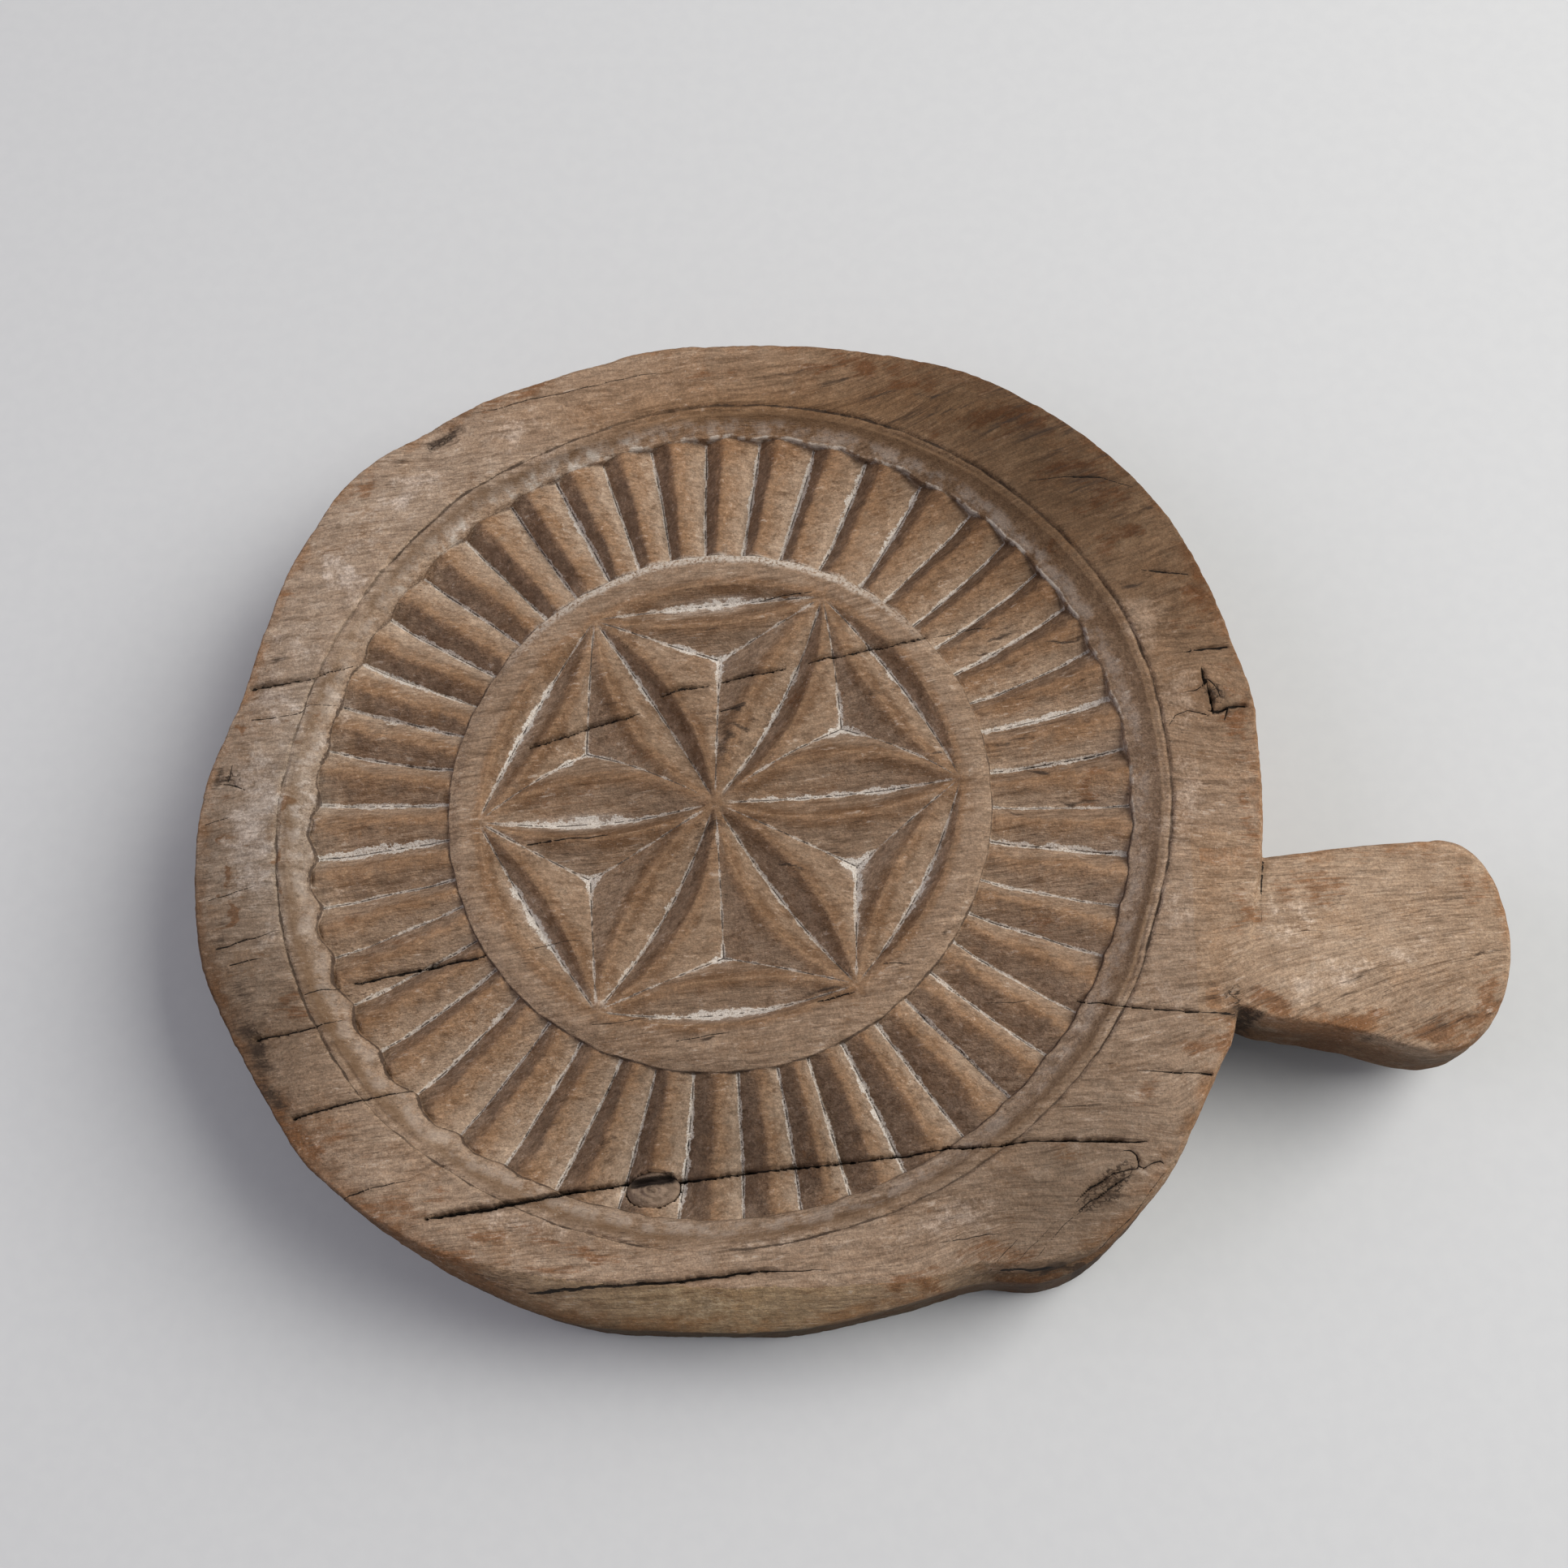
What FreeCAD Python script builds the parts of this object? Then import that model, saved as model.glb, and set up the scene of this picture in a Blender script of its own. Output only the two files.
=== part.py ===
import FreeCAD, Part
import Sketcher
import os
import math

# Hand-carved round butter mould with a stub handle, cut from one block of wood, and its dead knot.
# Frame: the mould lies on its flat back. Origin on the back face under the centre of the rosette,
# +Z out of the carved face, +X towards the handle. Millimetres and degrees.

os.makedirs("parts", exist_ok=True)
V = FreeCAD.Vector
doc = FreeCAD.newDocument("butter_mold")

# ---------------------------------------------------------------- driving dimensions
DIMENSIONS = [
    # disc
    ("block_thick", 40.0),      # back face to rim face
    ("back_bevel", 4.0),        # how far the worn back edge draws the back face in
    ("back_ease", 4.0),         # extra height of the back bevel
    ("front_bevel", 6.0),       # worn bevel round the front edge
    ("front_ease", 8.0),        # extra height of the front bevel
    ("front_inset", 3.2),       # how far the front bevel draws the rim face in
    ("foot_inset", 8.0),        # extra rounding where the rim rests when the mould stands on edge
    ("foot_angle", 273.0),      # middle of that rounding, from +X
    ("foot_half", 38.0),        # half the angle it covers
    # carved field
    ("field_z", 36.5),          # floor of the field
    ("band_low", 104.8),        # radius at the foot of the sloping band
    ("band_high", 113.0),       # radius at the top of the sloping band
    ("shelf_out", 115.0),       # scribed line at the outer edge of the narrow shelf
    ("shelf_drop", 0.8),        # outer edge of the shelf below the rim face
    ("shelf_fall", 0.3),        # inner edge of the shelf below the outer
    ("field_flare", 0.2),       # outward lean of the cut above the shelf
    ("field_clear", 6.0),       # height of the field cut above the rim face
    ("cut_above", 3.0),         # height of flute and rosette cutters above the field
    # flutes
    ("flute_count", 46),
    ("flute_in", 70.5),         # inner end of the flutes
    ("flute_depth_in", 4.2),
    ("flute_depth_out", 5.4),
    ("flute_width_in", 8.8),
    ("flute_width_out", 13.2),
    ("flute_lean", 0.40),       # share of the width on the +Y side of the valley
    # rosette
    ("star_radius", 60.5),      # centre of the rosette to a petal tip
    ("star_turn", 5.4),         # angle of the first petal
    ("petal_slope", 0.74),      # drop per millimetre from the petal edge
    ("pit_slope", 0.68),        # drop per millimetre in the three-cornered pits
    ("pit_reach", 12.0),        # depth of the pit cutters, below the deepest point they cut
    ("land", 0.25),             # half the width of the crest left between cuts
    # handle
    ("grip_z0", 8.0),           # underside
    ("grip_z1", 37.0),          # upper face
    ("grip_bevel", 5.0),        # height of both bevels
    ("grip_inset", 3.5),        # how far the upper bevel draws in
    # dead knot
    ("knot_x", -12.4),
    ("knot_y", -97.6),
    ("knot_long", 13.0),
    ("knot_short", 8.6),
    ("knot_turn", 7.0),
    ("knot_floor", 16.0),
    ("knot_top", 32.2),
    ("knot_gap", 0.25),         # between knot and socket, all round
    ("crown_bevel", 0.8),
]
# distance from the rosette centre to the outer edge, every RIM_STEP degrees from +X
RIM_STEP = 5
RIM = [
    136.3, 136.8, 138.0, 138.2, 138.5, 139.2, 139.6, 140.4, 140.4, 140.0, 139.4, 139.2,
    138.8, 138.0, 136.5, 135.3, 134.3, 133.4, 133.1, 133.4, 133.7, 133.7, 133.8, 133.8,
    134.5, 135.2, 135.6, 138.0, 138.4, 136.4, 134.7, 133.0, 131.4, 130.2, 130.4, 132.2,
    133.8, 134.5, 134.8, 135.4, 135.7, 134.8, 133.8, 133.6, 134.0, 134.3, 133.8, 133.1,
    132.7, 132.6, 132.4, 132.2, 131.5, 130.3, 129.8, 130.2, 130.8, 131.2, 131.4, 132.8,
    135.6, 142.8, 145.6, 144.6, 143.8, 141.8, 140.4, 139.5, 137.5, 136.8, 136.5, 136.4,
]
RIM_NAMES = ["rim_at_%03d" % (RIM_STEP * i) for i in range(len(RIM))]

# dimensions worked out in the spreadsheet from those above
DERIVED = [
    ("edge_low_z", "=back_bevel + back_ease"),
    ("edge_high_z", "=block_thick - front_bevel - front_ease"),
    ("shoulder_z", "=block_thick - front_bevel * 0.4"),
    ("shelf_z", "=block_thick - shelf_drop"),
    ("band_top_z", "=block_thick - shelf_drop - shelf_fall"),
    ("field_top_z", "=block_thick + field_clear"),
    ("field_top_radius", "=shelf_out + field_flare"),
    ("cut_top_z", "=field_z + cut_above"),
    ("flute_out", "=band_low"),
    ("petal_radius", "=star_radius - land + cut_above / petal_slope"),
    ("petal_height", "=petal_slope * (star_radius - land) + cut_above"),
    ("pit_height", "=pit_reach + cut_above"),
    ("pit_radius_low", "=star_radius + land + pit_reach / pit_slope"),
    ("pit_radius_high", "=star_radius + land - cut_above / pit_slope"),
    ("grip_low_z", "=grip_z0 + grip_bevel"),
    ("grip_high_z", "=grip_z1 - grip_bevel"),
    ("grip_under_inset", "=grip_inset * 1.3"),
    ("socket_depth", "=block_thick - knot_floor"),
    ("knot_height", "=knot_top - knot_floor"),
]
# a flute's section at each end: valley height, and the -Y and +Y corners at the cutter's top
for end in ("in", "out"):
    depth, width = "flute_depth_" + end, "flute_width_" + end
    widened = "%s * (%s + cut_above) / %s" % (width, depth, depth)
    DERIVED += [
        ("valley_z_" + end, "=field_z - " + depth),
        ("flute_minus_" + end, "=(flute_lean - 1) * " + widened),
        ("flute_plus_" + end, "=flute_lean * " + widened),
    ]

sheet = doc.addObject("Spreadsheet::Sheet", "Dimensions")
sheet.Label = "dimensions"
for row, (name, value) in enumerate(DIMENSIONS + list(zip(RIM_NAMES, RIM)) + DERIVED, start=1):
    sheet.set("A%d" % row, name)
    sheet.set("B%d" % row, str(value))
    sheet.setAlias("B%d" % row, name)
doc.recompute()


# ---------------------------------------------------------------- helpers
def size(name):
    return float(sheet.get(name))


def drive(item, prop, name):
    """bind a property to a named dimension"""
    item.setExpression(prop, "Dimensions." + name)


def sketch_on(body, name, role, offset=None):
    """sketch on an origin plane, moved along its normal by a named dimension"""
    sketch = body.newObject("Sketcher::SketchObject", name)
    origin_plane = next(f for f in body.Origin.OriginFeatures if f.Role == role)
    sketch.AttachmentSupport = [(origin_plane, "")]
    sketch.MapMode = "FlatFace"
    if offset:
        drive(sketch, ".AttachmentOffset.Base.z", offset)
    return sketch


def curve_sketch(body, name, z_name, points):
    """smooth closed curve at a named height"""
    sketch = sketch_on(body, name, "XY_Plane", z_name)
    curve = Part.BSplineCurve()
    curve.interpolate(Points=[V(x, y, 0) for x, y in points], PeriodicFlag=True)
    sketch.addGeometry(curve, False)
    return sketch


def driven_polygon(sketch, corners):
    """closed polygon; corners are pairs of named dimensions, None meaning on the vertical axis"""
    points = [V(size(across) if across else 0.0, size(up), 0) for across, up in corners]
    count = len(points)
    for i in range(count):
        sketch.addGeometry(Part.LineSegment(points[i], points[(i + 1) % count]), False)
    for i in range(count):
        sketch.addConstraint(Sketcher.Constraint("Coincident", i, 2, (i + 1) % count, 1))
    for i, corner in enumerate(corners):
        for kind, name in zip(("DistanceX", "DistanceY"), corner):
            if name:
                index = sketch.addConstraint(Sketcher.Constraint(kind, -1, 1, i, 1, size(name)))
                drive(sketch, "Constraints[%d]" % index, name)
            else:
                sketch.addConstraint(Sketcher.Constraint("PointOnObject", i, 1, -2))


def ruled_loft(body, kind, name, sketches):
    doc.recompute()
    loft = body.newObject("PartDesign::" + kind, name)
    loft.Profile = sketches[0]
    loft.Sections = sketches[1:]
    loft.Ruled = True
    doc.recompute()
    return loft


# ---------------------------------------------------------------- disc blank
# outline, height, inset, share of the foot rounding; from the back face up
RIM_LAYERS = [
    ("OutlineBack", None, size("back_bevel"), 0.35),
    ("OutlineLow", "edge_low_z", 0.0, 0.0),
    ("OutlineHigh", "edge_high_z", 0.0, 0.0),
    ("OutlineShoulder", "shoulder_z", 0.45 * size("front_inset"), 0.45),
    ("OutlineFront", "block_thick", size("front_inset"), 1.0),
]


def foot_bump(angle):
    """smooth bump, 1 at the foot angle and 0 beyond its half angle"""
    away = abs((angle - size("foot_angle") + 180.0) % 360.0 - 180.0)
    if away >= size("foot_half"):
        return 0.0
    return 0.5 + 0.5 * math.cos(math.pi * away / size("foot_half"))


def rim_points(inset, foot_share):
    points = []
    for i, name in enumerate(RIM_NAMES):
        angle = RIM_STEP * i
        radius = size(name) - inset - foot_share * size("foot_inset") * foot_bump(angle)
        turn = math.radians(angle)
        points.append((radius * math.cos(turn), radius * math.sin(turn)))
    return points


def add_blank(body):
    outlines = [curve_sketch(body, name, z_name, rim_points(inset, foot_share))
                for name, z_name, inset, foot_share in RIM_LAYERS]
    ruled_loft(body, "AdditiveLoft", "Blank", outlines)


# ---------------------------------------------------------------- handle, fused to the disc
# x, y of the widest outline, clockwise seen from +Z
GRIP = [
    (120.0, -15.5), (137.0, -14.6), (150.0, -12.6), (166.0, -10.9), (181.0, -10.0),
    (188.5, -13.0), (192.8, -21.5), (194.2, -33.0), (192.8, -44.0), (189.6, -53.0),
    (183.0, -60.2), (172.0, -62.0), (158.0, -59.6), (144.0, -56.6), (131.0, -53.4),
    (118.0, -50.0), (112.0, -33.0),
]
# outline, height, inset
GRIP_LAYERS = [
    ("GripUnder", "grip_z0", size("grip_under_inset")),
    ("GripLow", "grip_low_z", 0.0),
    ("GripHigh", "grip_high_z", 0.0),
    ("GripFace", "grip_z1", size("grip_inset")),
]


def grip_points(inset):
    """each point moved inwards, square to the line between its neighbours"""
    points = []
    for i, (x, y) in enumerate(GRIP):
        before, after = GRIP[i - 1], GRIP[(i + 1) % len(GRIP)]
        along_x, along_y = after[0] - before[0], after[1] - before[1]
        shift = inset / math.hypot(along_x, along_y)
        points.append((x + along_y * shift, y - along_x * shift))
    return points


def add_grip(body):
    outlines = [curve_sketch(body, name, z_name, grip_points(inset))
                for name, z_name, inset in GRIP_LAYERS]
    ruled_loft(body, "AdditiveLoft", "Grip", outlines)


# ---------------------------------------------------------------- dished field with its band
def cut_field(body):
    """returns the upright axis of the profile, for the ring of flutes"""
    profile = sketch_on(body, "FieldProfile", "XZ_Plane")
    driven_polygon(profile, [
        (None, "field_z"),
        ("band_low", "field_z"),
        ("band_high", "band_top_z"),
        ("shelf_out", "shelf_z"),
        ("field_top_radius", "field_top_z"),
        (None, "field_top_z"),
    ])
    doc.recompute()
    axis = (profile, ["V_Axis"])
    field = body.newObject("PartDesign::Groove", "Field")
    field.Profile = profile
    field.ReferenceAxis = axis
    field.Angle = 360.0
    doc.recompute()
    return axis


# ---------------------------------------------------------------- one flute, then a ring of them
def cut_flutes(body, axis):
    ends = []
    for name, end in (("FluteInner", "in"), ("FluteOuter", "out")):
        sketch = sketch_on(body, name, "YZ_Plane", "flute_" + end)
        driven_polygon(sketch, [
            ("flute_minus_" + end, "cut_top_z"),
            (None, "valley_z_" + end),
            ("flute_plus_" + end, "cut_top_z"),
        ])
        ends.append(sketch)
    flute = ruled_loft(body, "SubtractiveLoft", "Flute", ends)
    ring = body.newObject("PartDesign::PolarPattern", "FluteRing")
    ring.Originals = [flute]
    ring.Axis = axis
    ring.Angle = 360.0
    drive(ring, "Occurrences", "flute_count")
    body.Tip = ring
    doc.recompute()


# ---------------------------------------------------------------- dead knot and its socket
def knot_sketch(body, name, gap):
    sketch = sketch_on(body, name, "XY_Plane", "knot_floor")
    turn = math.radians(size("knot_turn"))
    major = size("knot_long") / 2 + gap
    minor = size("knot_short") / 2 + gap
    centre = V(size("knot_x"), size("knot_y"), 0)
    major_end = centre + V(major * math.cos(turn), major * math.sin(turn), 0)
    minor_end = centre + V(-minor * math.sin(turn), minor * math.cos(turn), 0)
    sketch.addGeometry(Part.Ellipse(major_end, minor_end, centre), False)
    doc.recompute()
    return sketch


def cut_socket(body):
    outline = knot_sketch(body, "SocketOutline", size("knot_gap"))
    socket = body.newObject("PartDesign::Pocket", "Socket")
    socket.Profile = outline
    socket.Reversed = True
    drive(socket, "Length", "socket_depth")
    doc.recompute()


def make_knot():
    knot = doc.addObject("PartDesign::Body", "DeadKnot")
    knot.Label = "dead_knot"
    outline = knot_sketch(knot, "KnotOutline", 0.0)
    stub = knot.newObject("PartDesign::Pad", "Stub")
    stub.Profile = outline
    drive(stub, "Length", "knot_height")
    doc.recompute()
    top_z = size("knot_top")
    top_edges = ["Edge%d" % i for i, edge in enumerate(stub.Shape.Edges, start=1)
                 if abs(edge.BoundBox.ZMin - top_z) < 1e-6
                 and abs(edge.BoundBox.ZMax - top_z) < 1e-6]
    crown = knot.newObject("PartDesign::Chamfer", "Crown")
    crown.Base = (stub, top_edges)
    drive(crown, "Size", "crown_bevel")
    doc.recompute()
    return knot


# ---------------------------------------------------------------- six-petalled rosette
PETALS = 6


def tip(k):
    """x, y of a petal tip"""
    angle = math.radians(size("star_turn") + 360.0 / PETALS * k)
    return size("star_radius") * math.cos(angle), size("star_radius") * math.sin(angle)


def far_centre(k):
    """x, y of the point that makes a rhombus with the centre and tips k and k + 1"""
    (x0, y0), (x1, y1) = tip(k), tip(k + 1)
    return x0 + x1, y0 + y1


def petal_cone(name, x, y):
    """cone standing on its point, its wall falling inwards from a circle of the star radius"""
    cone = doc.addObject("Part::Cone", name)
    cone.Radius1 = 0
    drive(cone, "Radius2", "petal_radius")
    drive(cone, "Height", "petal_height")
    base_z = size("cut_top_z") - size("petal_height")
    cone.Placement = FreeCAD.Placement(V(x, y, base_z), FreeCAD.Rotation())
    return cone


def pit_wall(name, x, y):
    """cone narrowing upwards, outside which a pit is cut"""
    wall = doc.addObject("Part::Cone", name)
    drive(wall, "Radius1", "pit_radius_low")
    drive(wall, "Radius2", "pit_radius_high")
    drive(wall, "Height", "pit_height")
    base_z = size("field_z") - size("pit_reach")
    wall.Placement = FreeCAD.Placement(V(x, y, base_z), FreeCAD.Rotation())
    return wall


def overlap(name, base, tool):
    common = doc.addObject("Part::Common", name)
    common.Base = base
    common.Tool = tool
    return common


def make_pit(k):
    """three-cornered pit between petals k and k + 1"""
    base_z = size("field_z") - size("pit_reach")
    corners = [V(x, y, base_z) for x, y in ((0, 0), tip(k), tip(k + 1), (0, 0))]
    prism = doc.addObject("Part::Feature", "PitBlank%d" % k)
    prism.Shape = Part.Face(Part.makePolygon(corners)).extrude(V(0, 0, size("pit_height")))
    centres = [tip(k - 1), tip(k + 2), far_centre(k)]
    walls = doc.addObject("Part::MultiFuse", "PitWalls%d" % k)
    walls.Shapes = [pit_wall("PitWall%d_%d" % (k, j), x, y) for j, (x, y) in enumerate(centres)]
    pit = doc.addObject("Part::Cut", "Pit%d" % k)
    pit.Base = prism
    pit.Tool = walls
    return pit


def make_rosette():
    centre_cone = petal_cone("ConeCentre", 0, 0)
    tip_cones = [petal_cone("ConeTip%d" % k, *tip(k)) for k in range(PETALS)]
    petals = [overlap("Petal%d" % k, tip_cones[(k - 1) % PETALS], tip_cones[(k + 1) % PETALS])
              for k in range(PETALS)]
    # lenses joining neighbouring petal tips
    lenses = [overlap("OuterLens%d" % k, centre_cone, petal_cone("ConeFar%d" % k, *far_centre(k)))
              for k in range(PETALS)]
    pits = [make_pit(k) for k in range(PETALS)]
    doc.recompute()
    rosette = doc.addObject("Part::Compound", "RosetteCuts")
    rosette.Links = petals + lenses + pits
    doc.recompute()
    return rosette


def make_block():
    body = doc.addObject("PartDesign::Body", "CarvedBlank")
    body.Label = "carved_blank"
    add_blank(body)
    add_grip(body)
    axis = cut_field(body)
    cut_flutes(body, axis)
    cut_socket(body)
    rosette = make_rosette()
    block = doc.addObject("Part::Cut", "MouldBlock")
    block.Label = "mould_block"
    block.Base = body
    block.Tool = rosette
    doc.recompute()
    return block


# ---------------------------------------------------------------- build, then one file per piece
pieces = [make_block(), make_knot()]
for item in doc.Objects:
    if "Invalid" in item.State or "Error" in item.State:
        raise RuntimeError("failed: %s %s" % (item.Name, item.State))
for piece in pieces:
    shape = piece.Shape
    if shape.isNull() or not shape.isValid() or len(shape.Solids) != 1:
        raise RuntimeError("bad shape: %s" % piece.Label)
    shape.exportStep("parts/%s.step" % piece.Label)
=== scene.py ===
"""A round carved wooden mould with a short handle on its +X side, lying on its back.

The face looks up (+Z). From the middle outwards it has a six-petalled rosette, a plain ring,
a ring of flutes, a sloping band, a scribed line and a rim. The origin is the middle of the
disc on its back. Shapes are worked out in millimetres and angles in degrees from +X; the
meshes are turned into metres as they are made.
"""
import math

import bpy
import numpy as np
from mathutils import Matrix, Vector


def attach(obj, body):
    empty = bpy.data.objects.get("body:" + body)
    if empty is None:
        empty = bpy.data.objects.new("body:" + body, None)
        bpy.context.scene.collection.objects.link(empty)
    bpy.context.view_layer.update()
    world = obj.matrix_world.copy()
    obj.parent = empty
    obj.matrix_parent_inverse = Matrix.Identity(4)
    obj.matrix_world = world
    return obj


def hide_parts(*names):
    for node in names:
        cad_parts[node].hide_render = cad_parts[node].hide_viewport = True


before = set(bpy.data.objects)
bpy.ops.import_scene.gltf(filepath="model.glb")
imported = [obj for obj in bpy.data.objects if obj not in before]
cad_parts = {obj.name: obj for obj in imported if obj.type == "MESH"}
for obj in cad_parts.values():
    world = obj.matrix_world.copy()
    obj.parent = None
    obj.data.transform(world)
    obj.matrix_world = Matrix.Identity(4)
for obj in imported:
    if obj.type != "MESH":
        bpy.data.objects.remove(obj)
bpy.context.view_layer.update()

RIM_Z = 40.0                                  # nominal height of the rim face
CREST_Z = 36.5                                # plane of the carved crests; heights start here
RIM_RISE = RIM_Z - CREST_Z
EYE = np.array([55.35, -159.39, 471.84])      # camera, measured from the crest plane
CELL = 0.9             # coarse mesh cell; carved faces are split once
FAR = 9.0                                     # stands for "no line near here"


# ---------------------------------------------------------------- small helpers
def mix(start, end, share):
    return start * (1 - share) + end * share


def soft_min(first, second, blend):
    share = np.clip(0.5 + 0.5 * (second - first) / blend, 0, 1)
    return mix(second, first, share) - blend * share * (1 - share)


def ease(start, end, value):
    """0 at start, 1 at end, with a smooth S between."""
    share = np.clip((value - start) / (end - start), 0, 1)
    return share * share * (3 - 2 * share)


def round_off(share, power=2):
    """Quarter round: how far an edge is drawn in as share goes from 0 to 1."""
    return 1 - np.sqrt(np.maximum(1 - share ** power, 0))


def at_height(x, y, height):
    """Carry a point drawn on the crest plane along the line of sight to a height above it."""
    return x + (EYE[0] - x) * height / EYE[2], y + (EYE[1] - y) * height / EYE[2]


def seen_on_plane(x, y, height):
    """Where a point at a height above the crest plane is seen on that plane."""
    drop = EYE[2] - height
    return x + (x - EYE[0]) * height / drop, y + (y - EYE[1]) * height / drop


def turned(x, y, degrees):
    """Coordinates along and across an axis turned by some degrees."""
    cos, sin = math.cos(math.radians(degrees)), math.sin(math.radians(degrees))
    return x * cos + y * sin, -x * sin + y * cos


def corner_value(column, row, seed):
    """Repeatable value from -1 to 1 for a corner of the noise lattice."""
    mixed = (column.astype(np.int64) * 374761393 + row.astype(np.int64) * 668265263
             + seed * 144665) & 0xFFFFFFFF
    mixed = ((mixed ^ (mixed >> 13)) * 1274126177) & 0xFFFFFFFF
    mixed = (mixed ^ (mixed >> 16)) & 0xFFFF
    return mixed / 32767.5 - 1.0


def noise(x, y, seed):
    column, row = np.floor(x), np.floor(y)
    part_x, part_y = x - column, y - row
    share_x = part_x * part_x * (3 - 2 * part_x)
    share_y = part_y * part_y * (3 - 2 * part_y)
    low = mix(corner_value(column, row, seed), corner_value(column + 1, row, seed), share_x)
    high = mix(corner_value(column, row + 1, seed), corner_value(column + 1, row + 1, seed),
               share_x)
    return mix(low, high, share_y)


def layered(x, y, seed, octaves):
    """Noise with finer layers, each half as strong as the one before."""
    total, weight, weights = 0.0, 1.0, 0.0
    for i in range(octaves):
        total = total + weight * noise(x * 2 ** i + 17.3 * i, y * 2 ** i - 9.1 * i, seed + 31 * i)
        weights += weight
        weight *= 0.5
    return total / weights


def spline(before, start, end, after, t):
    """Catmull-Rom curve from start to end."""
    return 0.5 * ((2 * start) + (-before + end) * t
                  + (2 * before - 5 * start + 4 * end - after) * t ** 2
                  + (-before + 3 * start - 3 * end + after) * t ** 3)


CURVE_STEP = 0.25      # degrees between the values of a curve round the disc
CURVE_COUNT = 1440


def ring_curve(values, step):
    """Closed smooth curve through values spaced evenly, step degrees apart."""
    values = np.asarray(values, float)
    count = len(values)
    place = np.arange(0, 360, CURVE_STEP) / step
    i = np.floor(place).astype(int)
    return spline(values[(i - 1) % count], values[i % count], values[(i + 1) % count],
                  values[(i + 2) % count], place - i)


def at_angle(curve, angle):
    place = (np.degrees(angle) % 360.0) / CURVE_STEP
    i = np.floor(place).astype(int)
    return mix(curve[i % CURVE_COUNT], curve[(i + 1) % CURVE_COUNT], place - i)


def bump(angle, centre, half):
    """1 at the centre angle, falling to 0 half degrees to either side."""
    away = np.abs((np.degrees(angle) - centre + 180.0) % 360.0 - 180.0)
    return np.where(away < half, 0.5 + 0.5 * np.cos(np.pi * np.minimum(away, half) / half), 0.0)


# ---------------------------------------------------------------- side of the disc
# radius of the outline every 5 degrees
RIM = ring_curve([
    136.3, 136.8, 138.0, 138.2, 138.5, 139.2, 139.6, 140.4, 140.4, 140.0, 139.4, 139.2,
    138.8, 138.0, 136.5, 135.3, 134.3, 133.4, 133.1, 133.4, 133.7, 133.7, 133.8, 133.8,
    134.5, 135.2, 135.6, 138.0, 138.4, 136.4, 134.7, 133.0, 131.4, 130.2, 130.4, 132.2,
    133.8, 134.5, 134.8, 135.4, 135.7, 134.8, 133.8, 133.6, 134.0, 134.3, 133.8, 133.1,
    132.7, 132.6, 132.4, 132.2, 131.5, 130.3, 129.8, 130.2, 130.8, 131.2, 131.4, 132.8,
    135.6, 142.8, 145.6, 144.6, 143.8, 141.8, 140.4, 139.5, 137.5, 136.8, 136.5, 136.4], 5.0)

# bevel of the upper edge every 10 degrees: how far it draws in, how deep it reaches
BEVEL_INSET = ring_curve([
    2.4, 2.2, 2.2, 2.2, 2.4, 2.6, 3.0, 4.5, 5.2, 5.4, 5.4, 5.2, 4.0, 2.6, 2.2, 2.2, 2.6, 2.2,
    2.2, 2.4, 2.6, 2.4, 2.2, 2.4, 4.5, 8.0, 9.6, 9.8, 9.0, 6.0, 3.0, 3.4, 3.0, 2.6, 2.4, 2.4],
    10.0)
BEVEL_DEPTH = ring_curve([
    3.4, 3.2, 3.2, 3.2, 3.4, 3.6, 4.0, 5.0, 6.0, 6.2, 6.2, 6.0, 5.0, 4.0, 3.4, 3.2, 3.6, 3.2,
    3.2, 3.4, 3.6, 3.4, 3.2, 4.0, 8.0, 13.0, 16.0, 16.0, 14.0, 9.0, 6.0, 6.0, 5.0, 4.0, 3.4, 3.4],
    10.0)
BACK_BEVEL = 5.0


def disc_side(x, y, z):
    """Signed distance to the side wall of the disc, drawn in near both faces."""
    angle = np.arctan2(y, x)
    depth = at_angle(BEVEL_DEPTH, angle)
    share = np.clip((z - (RIM_Z + 0.2 - depth)) / depth, 0, 1)
    # near 272 degrees the bevel is a nearly flat slope, elsewhere it is round
    flat = bump(angle, 272.0, 40.0) ** 0.5
    inset = at_angle(BEVEL_INSET, angle) * ((1 - flat) * round_off(share, 1.7)
                                            + flat * (0.85 * share + 0.15 * share ** 5))
    inset = inset + 3.6 * round_off(np.clip((BACK_BEVEL - z) / BACK_BEVEL, 0, 1))
    # the wall steps in above a lump near 304 degrees
    inset = inset + 2.6 * bump(angle, 304.0, 9.5) ** 0.6 * ease(RIM_Z - 10.5, RIM_Z - 8.5, z)
    # broad facets and weathering
    degrees = np.degrees(angle)
    facets = (0.55 * layered(degrees * 0.16, z * 0.055, seed=5, octaves=2)
              + 0.20 * layered(degrees * 0.62, z * 0.16, seed=9, octaves=2))
    facets = facets + 0.09 * noise(degrees * 2.3, z * 0.5, seed=12)
    return np.hypot(x, y) - at_angle(RIM, angle) + inset + facets


# ---------------------------------------------------------------- handle
# outline, x and y, starting inside the disc on the upper (+Y) side
GRIP = [
    (118.0, -15.8), (128.0, -15.0), (137.7, -14.0), (145.3, -12.8), (155.0, -11.6),
    (165.2, -10.6), (174.0, -9.9), (181.0, -9.7), (185.8, -11.2), (190.3, -15.5),
    (193.2, -22.6), (194.3, -31.0), (194.2, -36.5), (192.8, -43.5), (190.4, -51.0),
    (185.6, -58.2), (180.0, -61.9), (173.5, -62.9), (166.0, -61.6), (158.0, -59.4),
    (149.0, -57.7), (141.0, -56.6), (134.5, -55.6), (128.5, -53.4), (120.0, -51.0),
    (108.0, -44.0), (106.0, -24.0)]
GRIP_CURVE_STEPS = 12


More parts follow.
